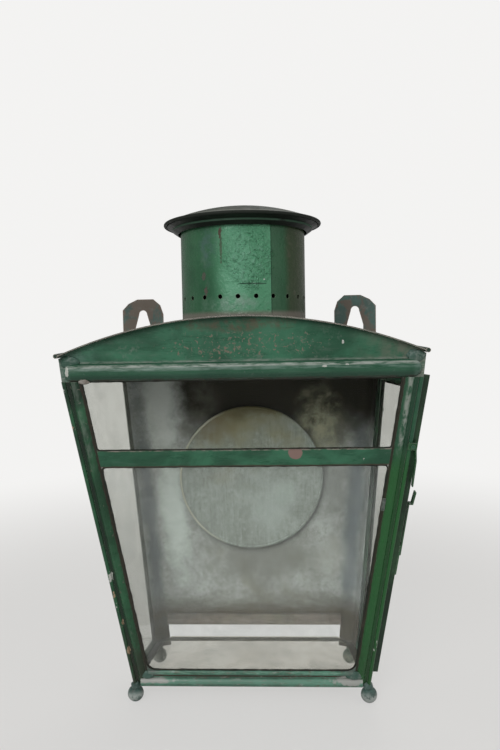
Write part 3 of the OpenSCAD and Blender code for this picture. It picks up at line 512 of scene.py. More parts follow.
barPaint = paintMaterial("barPaint", greenLook | {
    "paint": (0.047, 0.172, 0.098, 1), "edge": 0.1, "edgeTint": (0.15, 0.11, 0.09, 1),
    "chipped": [((0.1268, -0.0716, 0.3089), (0.0016, 0.005, 0.0018), chalk)],
    "marks": [
        {"fades": [("Z", 0.3188, 0.3196)], "grain": (2.4, 0.42, 0.6),
         "drawn": (60, 60, 240), "share": 0.75, "tint": (0.4, 0.35, 0.31, 1)},
        {"fades": [("wavy", 0.3046, 0.3038)], "share": 0.85,
         "tint": (0.05, 0.036, 0.026, 1)},
        {"spot": ((0.0554, -0.0735, 0.3165), (0.0078, 0.02, 0.0075), 0.08, 160),
         "share": 0.95, "tint": primer}]}, barRelief)

bareTin = (0.43, 0.43, 0.41, 1)
bottomPaint = paintMaterial("bottomPaint", greenLook | {
    "paint": (0.115, 0.28, 0.2, 1), "deep": (0.065, 0.15, 0.105, 1), "scuff": 0.3,
    "pale": (0.2, 0.28, 0.24, 1), "streak": (8, 90, 90), "edge": 0.3,
    "marks": [
        # a dark rusty line in the groove between the beads, rust and painted shade
        {"bands": [("Z", 0.0332, 0.0362, 0.0006)], "grain": (2.2, 0.25, 0.5),
         "drawn": (26, 60, 200), "share": 0.95, "tint": (0.06, 0.03, 0.02, 1)},
        {"grain": (2.4, 0.53, 0.62, 0.7), "drawn": (40, 60, 160), "share": 0.75,
         "tint": (0.135, 0.085, 0.062, 1)},
        {"grain": (2, 0.55, 0.66, 0.7), "drawn": (46, 60, 190), "share": 0.7,
         "tint": (0.3, 0.36, 0.32, 1)},
        {"bands": [("Z", 0.0380, 0.0405, 0.0008)], "grain": (2.6, 0.42, 0.6),
         "drawn": (26, 60, 200), "share": 0.6, "tint": (0.24, 0.44, 0.34, 1)},
        # painted highlight along the lower bead
        {"bands": [("Z", 0.0255, 0.0310, 0.001)], "share": 0.5,
         "tint": (0.19, 0.36, 0.28, 1)},
        {"spot": ((-0.118, 0, 0.0288), (0.028, 0.02, 0.0042), 0.4, 90, 0.4),
         "share": 0.9, "tint": bareTin},
        {"spot": ((0.116, 0, 0.0298), (0.024, 0.02, 0.0060), 0.5, 90, 0.4),
         "share": 0.9, "tint": bareTin},
        {"fades": [("aside", 0.104, 0.118), ("Z", 0.033, 0.036)], "share": 0.7,
         "tint": (0.12, 0.14, 0.13, 1)}]})

# How the front leans back and tapers towards the floor.
faceLay = {"frontY": -0.097, "topZ": 0.396, "slope": 0.2568, "sideSlope": 0.115,
           "cornerX": 0.185}

postRag = {"noise": (110, 5, 0.7), "reach": 0.0035}  # the ragged edge where the paint stops


# Distances measured in from a post's outer edge and back from its face.
def postRelief(place, along, height):
    drop = minus(faceLay["topZ"], along["Z"])
    edge = minus(faceLay["cornerX"], times(drop, faceLay["sideSlope"]))
    along["inward"] = minus(edge, along["aside"])
    along["back"] = minus(along["Y"], times(drop, faceLay["slope"]))
    rag = times(speckle(place, *postRag["noise"]), postRag["reach"])
    along["ragged"] = plus(along["inward"], rag)
    return height


def postMarks(look):
    return [
        {"fades": [("Z", 0.33, 0.29)], "share": look["vivid"], "tint": look["vividTint"]},
        # painted shade in the valley between the outer bead and the ridge
        {"bands": [("inward", 0.0046, 0.0080, 0.0006)], "share": look["grooveShade"],
         "tint": (0.01, 0.018, 0.012, 1)},
        # painted highlight mixed with rubbed wear along the ridge's crest
        {"bands": [("inward", 0.0100, 0.0150, 0.0015)],
         "fades": [("Z", *look["wornLitFrom"])],
         "grain": (3, 0.42, 0.62), "drawn": (60, 60, 22), "share": look["worn"],
         "tint": (0.3, 0.34, 0.3, 1)},
        {"fades": [("back", -0.088, -0.094), ("ragged", 0.0192, 0.0200)], "share": 0.9,
         "tint": (0.03, 0.02, 0.014, 1)},
        {"fades": [("Z", 0.12, 0.05)], "grain": (1.8, 0.35, 0.55), "drawn": (90, 90, 12),
         "share": look["dullFoot"], "tint": (0.03, 0.03, 0.02, 1)}]


postLook = greenLook | {
    "paint": (0.035, 0.128, 0.062, 1), "streak": (40, 40, 8), "scuff": 0.2, "edge": 0.3,
    "dustShadeReach": 0.007, "dustShadeTint": (0.012, 0.017, 0.012, 1), "gloss": 0.24}
leftPostPaint = paintMaterial("leftPostPaint", postLook | {
    "deep": (0.013, 0.04, 0.022, 1), "chips": 0.3, "bare": (0.17, 0.135, 0.105, 1),
    "chipped": [((-0.1830, -0.0905, 0.3880), (0.0030, 0.006, 0.0050), chalk),
                ((-0.1798, -0.0814, 0.3471), (0.0032, 0.006, 0.0058), sand),
                ((-0.1600, -0.0400, 0.1876), (0.0016, 0.006, 0.0050), chalk),
                ((-0.1565, -0.0358, 0.1700), (0.0028, 0.007, 0.0075), chalk),
                ((-0.1540, -0.0300, 0.1480), (0.0015, 0.006, 0.0090), sand),
                ((-0.1525, -0.0274, 0.1330), (0.0016, 0.006, 0.0045), chalk),
                ((-0.1480, -0.0201, 0.1086), (0.0018, 0.006, 0.0045), sand),
                ((-0.1440, -0.0150, 0.0700), (0.0020, 0.006, 0.0050), sand)],
    "marks": postMarks({"vivid": 0.3, "vividTint": (0.022, 0.11, 0.045, 1), "grooveShade": 0.8,
                        "worn": 0.25, "wornLitFrom": (0.29, 0.31), "dullFoot": 0.8})}, postRelief)
rightPostPaint = paintMaterial("rightPostPaint", postLook | {
    "chipped": [((0.1475, -0.0136, 0.0850), (0.0013, 0.006, 0.0075), chalk),
                ((0.1445, -0.0106, 0.0730), (0.0010, 0.006, 0.0040), chalk)],
    "marks": postMarks({"vivid": 0.9, "vividTint": (0.024, 0.122, 0.033, 1), "grooveShade": 0.35,
                        "worn": 0.9, "wornLitFrom": (0.308, 0.328), "dullFoot": 0.25})}, postRelief)

roofPaint = paintMaterial("roofPaint", greenLook | {
    "paint": (0.04, 0.085, 0.058, 1), "deep": (0.02, 0.04, 0.028, 1), "gloss": 0.4,
    "edgeTint": (0.6, 0.52, 0.47, 1), "edge": 0.75, "streak": (20, 6, 20),
    "chips": 0.3})

# The chimney has three tones, dull at the left, bright in the middle and dark at the right of the
# sheet's lap: painted light and shade across the round tube, with brown grime further right. Its
# wrinkled paint in the upper middle has painted highlights on the crests and painted shade in the
# folds.
chimneyZones = {
    "middle": {"fades": [("swaying", -0.034, -0.008), ("X", 0.0334, 0.0328),
                         ("Y", -0.02, -0.04)]},
    "wrinkled": ((0.007, -0.072, 0.524), (0.028, 0.05, 0.040), 0.25, 70, 0.45),
    "sway": {"noise": (30, 4, 0.6), "reach": 0.004},
    "seam": {"noise": (90,), "reach": 0.0006, "level": (0.0334, 0.033), "step": 0.9},
    "folds": (0.15, 0.5, 2.2),           # everywhere, in the middle, where wrinkled
}


def chimneyRelief(place, along, height):
    sway, seam = chimneyZones["sway"], chimneyZones["seam"]
    swaying = times(speckle(place, *sway["noise"]), sway["reach"])
    along["swaying"] = plus(along["X"], swaying)
    wander = times(speckle(place, *seam["noise"]), seam["reach"])
    along["seam"] = plus(along["X"], wander)
    along["folds"] = useGroup(wrinkles, Vector=place)["Height"]
    height = plus(height, rise(along["seam"], *seam["level"], seam["step"]))
    everywhere, inMiddle, inWrinkled = chimneyZones["folds"]
    middle = maskOf(place, along, chimneyZones["middle"])
    wrinkled = spotAt(place, *chimneyZones["wrinkled"])
    depth = plus(everywhere, times(middle, inMiddle))
    depth = plus(times(wrinkled, inWrinkled), depth)
    return plus(height, times(along["folds"], depth))


chimneyPaint = paintMaterial("chimneyPaint", greenLook | {
    "paint": (0.043, 0.142, 0.07, 1), "deep": (0.028, 0.106, 0.052, 1),
    "streak": (30, 30, 14), "chips": 0.12, "bump": 0.85, "gloss": 0.22,
    "edge": 0.5, "edgeTint": (0.2, 0.22, 0.17, 1),
    "chipped": [((-0.0205, -0.0685, 0.5480), (0.0014, 0.01, 0.0060), rust),
                ((-0.0386, -0.0600, 0.5048), (0.0026, 0.01, 0.0040), (0.085, 0.1, 0.075, 1)),
                ((-0.0369, -0.0600, 0.4891), (0.0020, 0.01, 0.0045), (0.095, 0.09, 0.07, 1)),
                ((0.0253, -0.0660, 0.4992), (0.0010, 0.01, 0.0012), chalk)],
    "marks": [
        # painted highlight: the bright middle and its brighter centre stand for the lit front of
        # the tube
        chimneyZones["middle"] | {"share": 0.85, "tint": (0.098, 0.315, 0.176, 1)},
        {"spot": ((-0.004, -0.072, 0.520), (0.020, 0.05, 0.075), 0.3, 50, 0.8),
         "share": 0.5, "tint": (0.165, 0.42, 0.27, 1)},
        {"spot": ((-0.034, -0.062, 0.535), (0.014, 0.03, 0.026), 0.3, 50, 0.8),
         "grain": (120,), "share": 0.6, "tint": (0.085, 0.15, 0.145, 1)},
        {"spot": ((-0.006, -0.070, 0.474), (0.045, 0.03, 0.012), 0.3, 50, 0.8),
         "grain": (110,), "share": 0.8, "tint": (0.22, 0.34, 0.27, 1)},
        {"bands": [("seam", 0.0329, 0.0336, 0.0003)], "share": 0.75,
         "tint": (0.01, 0.03, 0.016, 1)},
        # painted shade: darker right of the lap, where the tube turns from the light
        {"fades": [("X", 0.0328, 0.0334)], "share": 0.6, "tint": (0.022, 0.088, 0.038, 1)},
        {"fades": [("swaying", 0.047, 0.056)], "share": 0.7,
         "tint": (0.052, 0.056, 0.028, 1)},
        {"fades": [("swaying", 0.047, 0.056)], "grain": (150, 0.5, 0.7), "share": 0.5,
         "tint": (0.11, 0.11, 0.08, 1)},
        # painted shade in the fold hollows and painted highlight on the fold crests
        {"spot": chimneyZones["wrinkled"], "fades": [("folds", 0.75, 0.5)], "share": 0.5,
         "tint": (0.03, 0.11, 0.058, 1)},
        {"spot": chimneyZones["wrinkled"], "fades": [("folds", 0.95, 1.15)], "share": 0.5,
         "tint": (0.16, 0.36, 0.25, 1)},
        # painted shade along a crease
        {"spot": ((0.013, -0.070, 0.4950), (0.015, 0.03, 0.0009), 0.25), "share": 0.75,
         "tint": (0.01, 0.035, 0.02, 1)},
        {"spot": ((-0.0195, -0.0685, 0.537), (0.0013, 0.01, 0.021), 0.75, 300),
         "share": 0.7, "tint": (0.06, 0.065, 0.04, 1)},
        {"fades": [("Z", 0.4685, 0.463)], "share": 0.8,
         "tint": (0.2, 0.175, 0.15, 1)}]}, chimneyRelief)

capPaint = paintMaterial("capPaint", greenLook | {
    "paint": (0.052, 0.06, 0.043, 1), "deep": (0.028, 0.038, 0.026, 1),
    "pale": (0.11, 0.112, 0.09, 1), "scuff": 0.4, "streak": (20, 20, 20), "gloss": 0.62,
    "chips": 0.2, "edge": 0,
    # painted shade under the brim and a painted highlight along its edge
    "marks": [{"fades": [("Z", 0.5695, 0.5668)], "tint": (0.01, 0.014, 0.01, 1)},
              {"bands": [("Z", 0.5687, 0.5706, 0.0007)], "share": 0.45,
               "tint": (0.22, 0.23, 0.2, 1)}]})
# The skirt under the cap is painted near black as painted shade, with a painted highlight on the
# ring where it catches the light.
skirtShadePaint = paintMaterial("skirtShadePaint", greenLook | {
    "paint": (0.011, 0.018, 0.012, 1), "deep": (0.004, 0.006, 0.004, 1),
    "pale": (0.03, 0.05, 0.035, 1), "bare": (0.03, 0.02, 0.015, 1), "edge": 0,
    "gloss": 0.5,
    "marks": [{"bands": [("Z", 0.5597, 0.5616, 0.0004)], "grain": (60, 0.3, 0.5),
               "share": 0.8, "tint": (0.05, 0.12, 0.075, 1)}]})
# The door's members are darker and grimier green, partly grime and partly painted shade, as the
# door stands in shade.
doorPaint = paintMaterial("doorPaint", greenLook | {
    "paint": (0.03, 0.078, 0.036, 1), "deep": (0.014, 0.032, 0.018, 1),
    "streak": (40, 40, 8), "edge": 0.12, "dustShade": 0.95})
brightPaint = paintMaterial("brightPaint", greenLook | {
    "paint": (0.024, 0.125, 0.04, 1), "deep": (0.014, 0.06, 0.024, 1), "dustShade": 0.95})


lugCloud = {"noise": (48, 5, 0.62, 0.6), "level": (0.05, -0.05), "more": 0.1}


# Brown clouds, thicker on the left lug.
def lugRelief(place, along, height):
    cloud = speckle(place, *lugCloud["noise"])
    warm = rise(along["X"], *lugCloud["level"], lugCloud["more"])
    along["cloud"] = plus(cloud, warm)
    return height


lugPaint = paintMaterial("lugPaint", greenLook | {
    "paint": (0.105, 0.185, 0.16, 1), "deep": (0.07, 0.11, 0.098, 1),
    "pale": (0.26, 0.27, 0.24, 1), "edgeTint": (0.3, 0.2, 0.16, 1), "edge": 0.8,
    "edgeWidth": 0.0022, "scuff": 0.4, "gloss": 0.45, "dustShade": 0.3,
    "marks": [{"fades": [("cloud", 0.46, 0.58)], "share": 0.85,
               "tint": (0.165, 0.125, 0.1, 1)},
              {"grain": (130, 0.55, 0.68, 0.7), "share": 0.5,
               "tint": (0.19, 0.2, 0.19, 1)}]}, lugRelief)
footPaint = paintMaterial("footPaint", greenLook | {
    "paint": (0.095, 0.165, 0.145, 1), "deep": (0.03, 0.05, 0.042, 1),
    "pale": (0.3, 0.34, 0.32, 1), "scuff": 0.6, "streak": (60, 60, 60), "gloss": 0.35,
    "chips": 0.35, "bare": (0.05, 0.045, 0.04, 1),
    "marks": [{"fades": [("Z", 0.016, 0.009)], "grain": (120, 0.38, 0.56), "share": 0.85,
               "tint": (0.46, 0.5, 0.48, 1)}]})
puttyPaint = paintMaterial("puttyPaint", greenLook | {
    "paint": (0.03, 0.026, 0.019, 1), "deep": (0.014, 0.018, 0.013, 1),
    "pale": (0.085, 0.07, 0.055, 1), "bare": (0.1, 0.075, 0.055, 1), "scuff": 0.4,
    "chips": 0.35, "grain": 170, "gloss": 0.5, "edge": 0})
solderPaint = paintMaterial("solderPaint", greenLook | {
    "paint": (0.085, 0.15, 0.125, 1), "deep": (0.035, 0.085, 0.06, 1),
    "pale": (0.33, 0.36, 0.34, 1), "scuff": 0.65, "gloss": 0.3, "edge": 0, "dustShade": 0.3})
chipPaint = paintMaterial("chipPaint", greenLook | {
    "paint": (0.4, 0.4, 0.37, 1), "deep": (0.2, 0.17, 0.145, 1),
    "pale": (0.55, 0.56, 0.53, 1), "scuff": 0.5, "gloss": 0.4, "edge": 0, "dustShade": 0.4})
ironPaint = paintMaterial("ironPaint", greenLook | {
    "paint": (0.095, 0.125, 0.108, 1), "deep": (0.03, 0.045, 0.036, 1),
    "pale": (0.26, 0.28, 0.26, 1), "scuff": 0.6, "streak": (60, 60, 60), "gloss": 0.4,
    "chips": 0.4, "bare": (0.05, 0.045, 0.04, 1)})
collarPaint = paintMaterial("collarPaint", greenLook | {
    "paint": (0.13, 0.12, 0.105, 1), "deep": (0.05, 0.05, 0.042, 1),
    "pale": (0.27, 0.25, 0.22, 1), "scuff": 0.5, "chips": 0.4})
sootIron = paintMaterial("sootIron", greenLook | {
    "paint": (0.025, 0.023, 0.02, 1), "deep": (0.01, 0.009, 0.008, 1), "gloss": 0.6,
    "pale": (0.06, 0.05, 0.04, 1), "edgeTint": (0.09, 0.06, 0.04, 1)})


discMiddle = 0.253                       # height of the reflector's centre


def tinMaterial(name, look):
    mat, tree, shader, place, target = newMaterial(name)
    tin = useGroup(cloudyTin, Vector=place, **named(look, "light", "dark", "stain", "stained"))
    x, y, z = axes(place)
    colour = tin["Color"]
    if "brushed" in look:                # fine upright lines, darker and lighter
        brushed = look["brushed"]
        lines = speckle(stretched(place, *brushed["drawn"]), *brushed["noise"])
        for shade in ("dark", "light"):
            colour = tinted(colour, rise(lines, *brushed[shade]), brushed["share"], look[shade])
    # the stains and the patches of painted light and shade lean in with the tapering sides
    start, slope = look["taper"]
    across = times(x, minus(start, times(z, slope)))
    leaning = add(tree, "CombineXYZ", {0: across, 1: y, 2: z})
    for centre, size, share, tint in look["stainsAndLight"]:
        mask = spotAt(leaning, centre, size, *look["stainEdge"])
        colour = tinted(colour, mask, share, tint)
    flat = add(tree, "CombineXYZ", {0: x, 1: z})
    outward = vectors("DISTANCE", flat, (0, discMiddle, 0), "Value")
    if "rim" in look:                    # an edge that catches the light at its left
        rim = look["rim"]
        lit = times(rise(outward, rim["radius"] - rim["width"], rim["radius"]),
                    rise(x, rim["from"], rim["to"], rim["share"]))
        colour = mixColour(lit, colour, rim["tint"])
    if "discShadow" in look:                   # painted shadow that the disc's edge casts on the plate, heaviest at the lower right
        discShadow = look["discShadow"]
        uphill = minus(minus(z, x), discMiddle)
        near = times(rise(outward, discShadow["outer"], discShadow["inner"]),
                     rise(uphill, discShadow["none"], discShadow["whole"]))
        colour = tinted(colour, near, discShadow["share"], discShadow["tint"])
    if "soot" in look:                   # soot above the flame, less of it at the left
        soot = look["soot"]
        puffs = minus(speckle(place, *soot["noise"]), 0.5)
        puffs = times(puffs, soot["reach"])
        black = times(rise(plus(z, puffs), *soot["up"]), rise(plus(x, puffs), *soot["across"]))
        colour = tinted(colour, black, soot["share"], look["sootAndShadeTint"])
        for centre, size, share, tint in soot["thin"]:
            mask = spotAt(place, centre, size, *soot["thinEdge"])
            mask = times(mask, broken(place, *soot["thinGrain"]))
            colour = tinted(colour, mask, share, tint)
    low = look["low"]                    # a brown stain that creeps up from the sill
    creep = speckle(stretched(place, *low["drawn"]), *low["noise"])
    creep = plus(z, times(creep, low["reach"]))
    colour = mixColour(rise(creep, *low["level"], look["lowShare"]), colour, low["tint"])
    # dust and painted shade in corners, in the soot's tint
    dustShade = useGroup(grime, Vector=place, Reach=look["dustShadeReach"], Amount=look["dustShade"])["Mask"]
    colour = mixColour(dustShade, colour, look["sootAndShadeTint"])
    if "outside" in look:                # the side away from the flame is painted
        facing = axes(add(tree, "TexCoord", output="Normal"))[1]
        coat = look["outside"]
        paint = useGroup(agedPaint, Vector=place, **named(coat, "chips", *paintKeys))
        colour = mixColour(rise(facing, *coat["facing"]), colour, paint["Color"])
    fill(shader, {"Base Color": colour, "Roughness": tin["Roughness"],
                  "Specular IOR Level": look["shine"]})
    bumpTo(shader, tin["Height"], look["bump"], look["bumpDepth"])
    return mat


sootAndShadeTint = (0.022, 0.02, 0.013, 1)
tinLook = {
    "light": (0.44, 0.465, 0.44, 1), "dark": (0.25, 0.258, 0.236, 1),
    "stain": (0.2, 0.19, 0.13, 1), "stained": 0.25, "taper": (1.124, 0.62), "stainsAndLight": [],
    "stainEdge": (0.34, 30, 0.85), "lowShare": 0,
    "low": {"level": (0.12, 0.08), "drawn": (12, 12, 40), "noise": (2, 6, 0.6),
            "reach": 0.03, "tint": (0.08, 0.066, 0.044, 1)},
    "sootAndShadeTint": sootAndShadeTint, "dustShade": 0.5, "dustShadeReach": 0.014,
    "shine": 0.06, "bump": 0.22, "bumpDepth": 0.001,
}
# Each stain and each patch of painted light and shade has its centre, size, share and tint.
plateTin = tinMaterial("plateTin", tinLook | {
    "lowShare": 0.95,
    "discShadow": {"inner": 0.094, "outer": 0.107, "none": 0.12, "whole": -0.08, "share": 0.7,
             "tint": (0.075, 0.08, 0.066, 1)},
    "stainsAndLight": [((0.02, 0.1, 0.145), (0.12, 0.1, 0.065), 0.75, (0.165, 0.166, 0.143, 1)),
               # painted light: pale upright bands at the left of the plate
               ((-0.104, 0.1, 0.20), (0.024, 0.1, 0.12), 0.8, (0.62, 0.69, 0.64, 1)),
               ((-0.107, 0.1, 0.35), (0.024, 0.1, 0.09), 0.8, (0.54, 0.57, 0.54, 1)),
               # painted shade: bluish dark bands where the sheet curves forward at both corners
               ((-0.137, 0.1, 0.20), (0.013, 0.1, 0.30), 0.75, (0.1, 0.115, 0.125, 1)),
               ((0.135, 0.1, 0.20), (0.018, 0.1, 0.30), 0.75, (0.085, 0.105, 0.12, 1)),
               ((0.090, 0.1, 0.315), (0.060, 0.1, 0.060), 0.6, (0.085, 0.085, 0.05, 1)),
               ((0.108, 0.1, 0.240), (0.030, 0.1, 0.070), 0.6, (0.17, 0.175, 0.158, 1)),
               ((0.110, 0.1, 0.145), (0.030, 0.1, 0.035), 0.4, (0.42, 0.43, 0.38, 1)),
               ((0, 0.1, 0.52), (0.3, 0.2, 0.13), 0.98, sootAndShadeTint)],
    "soot": {"up": (0.286, 0.348), "across": (-0.113, -0.080), "share": 0.99,
             "noise": (30, 6, 0.6, 0.4), "reach": 0.045, "thinEdge": (0.25, 40, 0.8),
             "thinGrain": (52, 0.26, 0.74),
             "thin": [((0.092, 0.1, 0.328), (0.038, 0.1, 0.056), 0.95, (0.34, 0.34, 0.235, 1)),
                      ((-0.062, 0.1, 0.352), (0.030, 0.1, 0.045), 0.4, (0.17, 0.17, 0.14, 1))]},
    "outside": greenLook | {"paint": (0.045, 0.085, 0.062, 1), "bare": (0.12, 0.115, 0.1, 1),
                            "streak": (30, 30, 8), "chips": 0.45, "scuff": 0.5,
                            "facing": (0.02, 0.2)}})
discTin = tinMaterial("discTin", tinLook | {
    "light": (0.33, 0.37, 0.335, 1), "dark": (0.18, 0.195, 0.17, 1),
    "brushed": {"drawn": (150, 60, 9), "noise": (3, 5, 0.7), "dark": (0.5, 0.35),
                "light": (0.5, 0.65), "share": 0.5},
    "stainsAndLight": [((0, 0.095, 0.380), (0.13, 0.1, 0.115), 1, (0.225, 0.213, 0.13, 1)),
               ((-0.055, 0.095, 0.330), (0.040, 0.1, 0.040), 0.6, (0.15, 0.12, 0.068, 1)),
               ((0.005, 0.095, 0.352), (0.085, 0.1, 0.024), 0.8, (0.07, 0.06, 0.028, 1)),
               # painted light: a brighter patch low in the middle of the disc
               ((0.030, 0.095, 0.220), (0.042, 0.1, 0.055), 0.55, (0.4, 0.455, 0.42, 1))],
    "rim": {"radius": 0.0925, "width": 0.0008, "from": -0.025, "to": -0.070, "share": 0.85,
            "tint": (0.46, 0.46, 0.37, 1)}})
ledgeTin = tinMaterial("ledgeTin", tinLook | {
    "light": (0.22, 0.22, 0.2, 1), "dark": (0.12, 0.12, 0.105, 1), "dustShade": 0.2})
sillTin = tinMaterial("sillTin", tinLook | {
    "light": (0.24, 0.2, 0.17, 1), "dark": (0.11, 0.1, 0.08, 1)})


def glassMaterial(name, look):
    mat, tree, shader, place, target = newMaterial(name)
    fill(shader, {"Transmission Weight": 1, "IOR": look["bend"],
                  "Base Color": look["tint"], "Roughness": 0})
    pane = shader.outputs[0]
    if look["dust"]:                     # a milky film of dust and old putty
        haze = speckle(place, *look["haze"])
        fill(shader, {"Roughness": rise(haze, *look["smeared"], look["rough"])})
        film = add(tree, "BsdfDiffuse", {"Color": look["dustTint"]})
        share = rise(haze, *look["dusty"], look["dust"], look["dust"] * look["thinnest"])
        pane = mixShaders(share, pane, film)
    shadow = add(tree, "LightPath", output="Is Shadow Ray")
    clear = add(tree, "BsdfTransparent", {"Color": look["tint"]})
    tree.links.new(mixShaders(shadow, pane, clear), target.inputs[0])
    return mat


glassLook = {"bend": 1.18, "tint": (0.96, 0.975, 0.965, 1), "rough": 0.02, "dust": 0.14,
             "thinnest": 0.35, "haze": (22, 6, 0.65, 0.5), "smeared": (0.3, 0.8),
             "dusty": (0.35, 0.75)}
clearPane = glassMaterial("clearPane", glassLook | {"dust": 0, "bend": 1.1})
hazyPane = glassMaterial("hazyPane", glassLook | {"dustTint": (0.46, 0.49, 0.475, 1)})
sidePane = glassMaterial("sidePane", glassLook | {
    "tint": (0.67, 0.67, 0.63, 1), "dustTint": (0.36, 0.35, 0.31, 1)})
basePane = glassMaterial("basePane", glassLook | {
    "dust": 0.25, "tint": (0.86, 0.84, 0.78, 1), "dustTint": (0.3, 0.27, 0.22, 1)})
print("finishes mixed")

# ---- what each CAD node is finished with ----

finishes = {
    leftPostPaint: ["front_post_left"],
    rightPostPaint: ["front_post_right"],
    railPaint: ["top_rail"],
    gablePaint: ["front_gable"],
    barPaint: ["glazing_bar"],
    bottomPaint: ["bottom_rail"],
    roofPaint: ["roof_sheet", "eave_bead_left", "eave_bead_right"],
    chimneyPaint: ["chimney_tube"],
    collarPaint: ["chimney_collar"],
    footPaint: ["foot_front_left", "foot_front_right", "foot_back_left", "foot_back_right"],
    ironPaint: ["lug_rivets", "hinge_pins", "hinge_rivets",
                "catch_rivets", "reflector_studs", "glazing_clips"],
    sootIron: ["inner_flue", "cap_straps"],
    skirtShadePaint: ["cap_skirt"],
    capPaint: ["cap_dome"],
    plateTin: ["back_plate"],
    sillTin: ["back_sill"],
    discTin: ["reflector"],
    lugPaint: ["lug_left", "lug_right"],
    greenPaint: ["side_rail_left", "side_rail_right", "base_rail_left", "base_rail_right",
                 "keeper_rivet"],
    ledgeTin: ["base_ledge"],
    doorPaint: ["door_stile_front", "door_stile_back", "door_rail_top", "door_rail_bottom",
                "hinge_frame_leaves", "hinge_door_leaves"],
    brightPaint: ["catch_plate", "catch_spring", "catch_keeper"],
    clearPane: ["glass_upper"],
    basePane: ["glass_bottom"],
    hazyPane: ["glass_lower"],
    sidePane: ["glass_left", "door_glass"],
}
for finish, names in finishes.items():
    for name in names:
        nodes[name].data.materials.clear()
        nodes[name].data.materials.append(finish)
left = sorted(set(nodes) - {n for names in finishes.values() for n in names})
print("finishes set, without one:", left)

# ---- pieces of their own ----

faceLean = math.atan(faceLay["slope"])
faceOut = Vector((0.0, -math.cos(faceLean), -math.sin(faceLean)))


def onFace(x, z, out):
    y = faceLay["frontY"] + (faceLay["topZ"] - z) * faceLay["slope"]
    return Vector((x, y, z)) + faceOut * out


def faceEdge(z, inset):
    return faceLay["cornerX"] - (faceLay["topZ"] - z) * faceLay["sideSlope"] - inset


def placePiece(name, form, finish, instead=None, body="case"):
    bmesh.ops.recalc_face_normals(form, faces=form.faces)
    mesh = bpy.data.meshes.new(name)
    form.to_mesh(mesh)
    form.free()
    for face in mesh.polygons:
        face.use_smooth = True
    mesh.materials.append(finish)
    piece = bpy.data.objects.new(name, mesh)
    bpy.context.scene.collection.objects.link(piece)
    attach(piece, body)
    if instead:
        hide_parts(instead)


# A closed line through the corners, each rounded off in a few turns.
def roundedLoop(corners, radii, step, turns=6):
    points = []
    for index, corner in enumerate(corners):
        following = (index + 1) % len(corners)
        before = (corners[index - 1] - corner).normalized()
        after = (corners[following] - corner).normalized()
        start = corner + before * radii[index]
        end = corner + after * radii[index]
        for turn in range(turns + 1):
            t = turn / turns
            points.append(start * (1 - t) ** 2 + corner * 2 * t * (1 - t) + end * t ** 2)
        target = corners[following] - after * radii[following]
        count = max(2, int((target - end).length / step))
        points += [end.lerp(target, k / count) for k in range(1, count)]
    return points


# A bead round a closed line in the front's plane, thicker and thinner as it goes.
def puttyBead(name, path, look, width, seed):
    frames = []
    for index, point in enumerate(path):
        along = (path[(index + 1) % len(path)] - path[index - 1]).normalized()
        lump = noise.noise(point * look["grain"] + Vector((seed, 0, 0)))
        size = 1 + look["wobble"] * lump
        side = along.cross(faceOut).normalized()
        proud = faceOut * look["proud"] * size
        turned = Matrix((side * width * size, proud, along)).transposed()
        frames.append(Matrix.Translation(point) @ turned.to_4x4())
    form = bmesh.new()
    ring = bmesh.ops.create_circle(form, segments=look["sides"], radius=1.0)["verts"]
    first = form.edges[:]
    bmesh.ops.transform(form, matrix=frames[0], verts=ring)
    edges = first
    for index in range(1, len(frames)):
        grown = bmesh.ops.extrude_edge_only(form, edges=edges)["geom"]
        ring = [part for part in grown if isinstance(part, bmesh.types.BMVert)]
        edges = [part for part in grown if isinstance(part, bmesh.types.BMEdge)
                 and all(vert in ring for vert in part.verts)]
        bmesh.ops.transform(form, matrix=frames[index] @ frames[index - 1].inverted(),
                            verts=ring)
    bmesh.ops.bridge_loops(form, edges=first + edges)
    placePiece(name, form, puttyPaint)


puttyShape = {
    "inset": 0.0209, "sunk": -0.0004, "proud": 0.0009, "step": 0.004, "sides": 8,
    "wobble": 0.55, "grain": 140,
    "panes": {                           # heights, corner radii, bead's width, start of noise
        "upperPutty": ((0.3208, 0.3956), (0.003, 0.003), 0.0009, 3.0),
        "lowerPutty": ((0.0426, 0.3016), (0.012, 0.006), 0.0012, 11.0),
    },
}
for name, ((low, high), (lowBend, highBend), width, seed) in puttyShape["panes"].items():
    atLow, atHigh = faceEdge(low, puttyShape["inset"]), faceEdge(high, puttyShape["inset"])
    corners = [onFace(x, z, puttyShape["sunk"]) for x, z in
               ((-atLow, low), (atLow, low), (atHigh, high), (-atHigh, high))]
    path = roundedLoop(corners, (lowBend, lowBend, highBend, highBend), puttyShape["step"])
    puttyBead(name, path, puttyShape, width, seed)
print("putty run round both front panes")

# The half-round bar under the gable, with its ends beaten round.
topBar = {"half": 0.183, "end": 0.009, "middleZ": 0.40525, "tall": 0.00925, "proud": 0.0065,
          "segments": 48, "rings": 32}
form = bmesh.new()
bmesh.ops.create_uvsphere(form, u_segments=topBar["segments"], v_segments=topBar["rings"],
                          radius=1.0, matrix=Matrix.Rotation(math.pi / 2, 4, "Y"))
bmesh.ops.bisect_plane(form, geom=form.verts[:] + form.edges[:] + form.faces[:], dist=1e-5,
                       plane_co=(0, 0, 0), plane_no=(0, 1, 0), clear_outer=True)
bmesh.ops.holes_fill(form, edges=[edge for edge in form.edges if edge.is_boundary])
bmesh.ops.scale(form, vec=(topBar["end"], topBar["proud"], topBar["tall"]), verts=form.verts)
reach = topBar["half"] - topBar["end"]
leftHalf = [v for v in form.verts if v.co.x < -1e-6]
rightHalf = [v for v in form.verts if v.co.x > 1e-6]
bmesh.ops.translate(form, vec=(-reach, 0, 0), verts=leftHalf)
bmesh.ops.translate(form, vec=(reach, 0, 0), verts=rightHalf)
bmesh.ops.translate(form, vec=(0, faceLay["frontY"], topBar["middleZ"]), verts=form.verts)
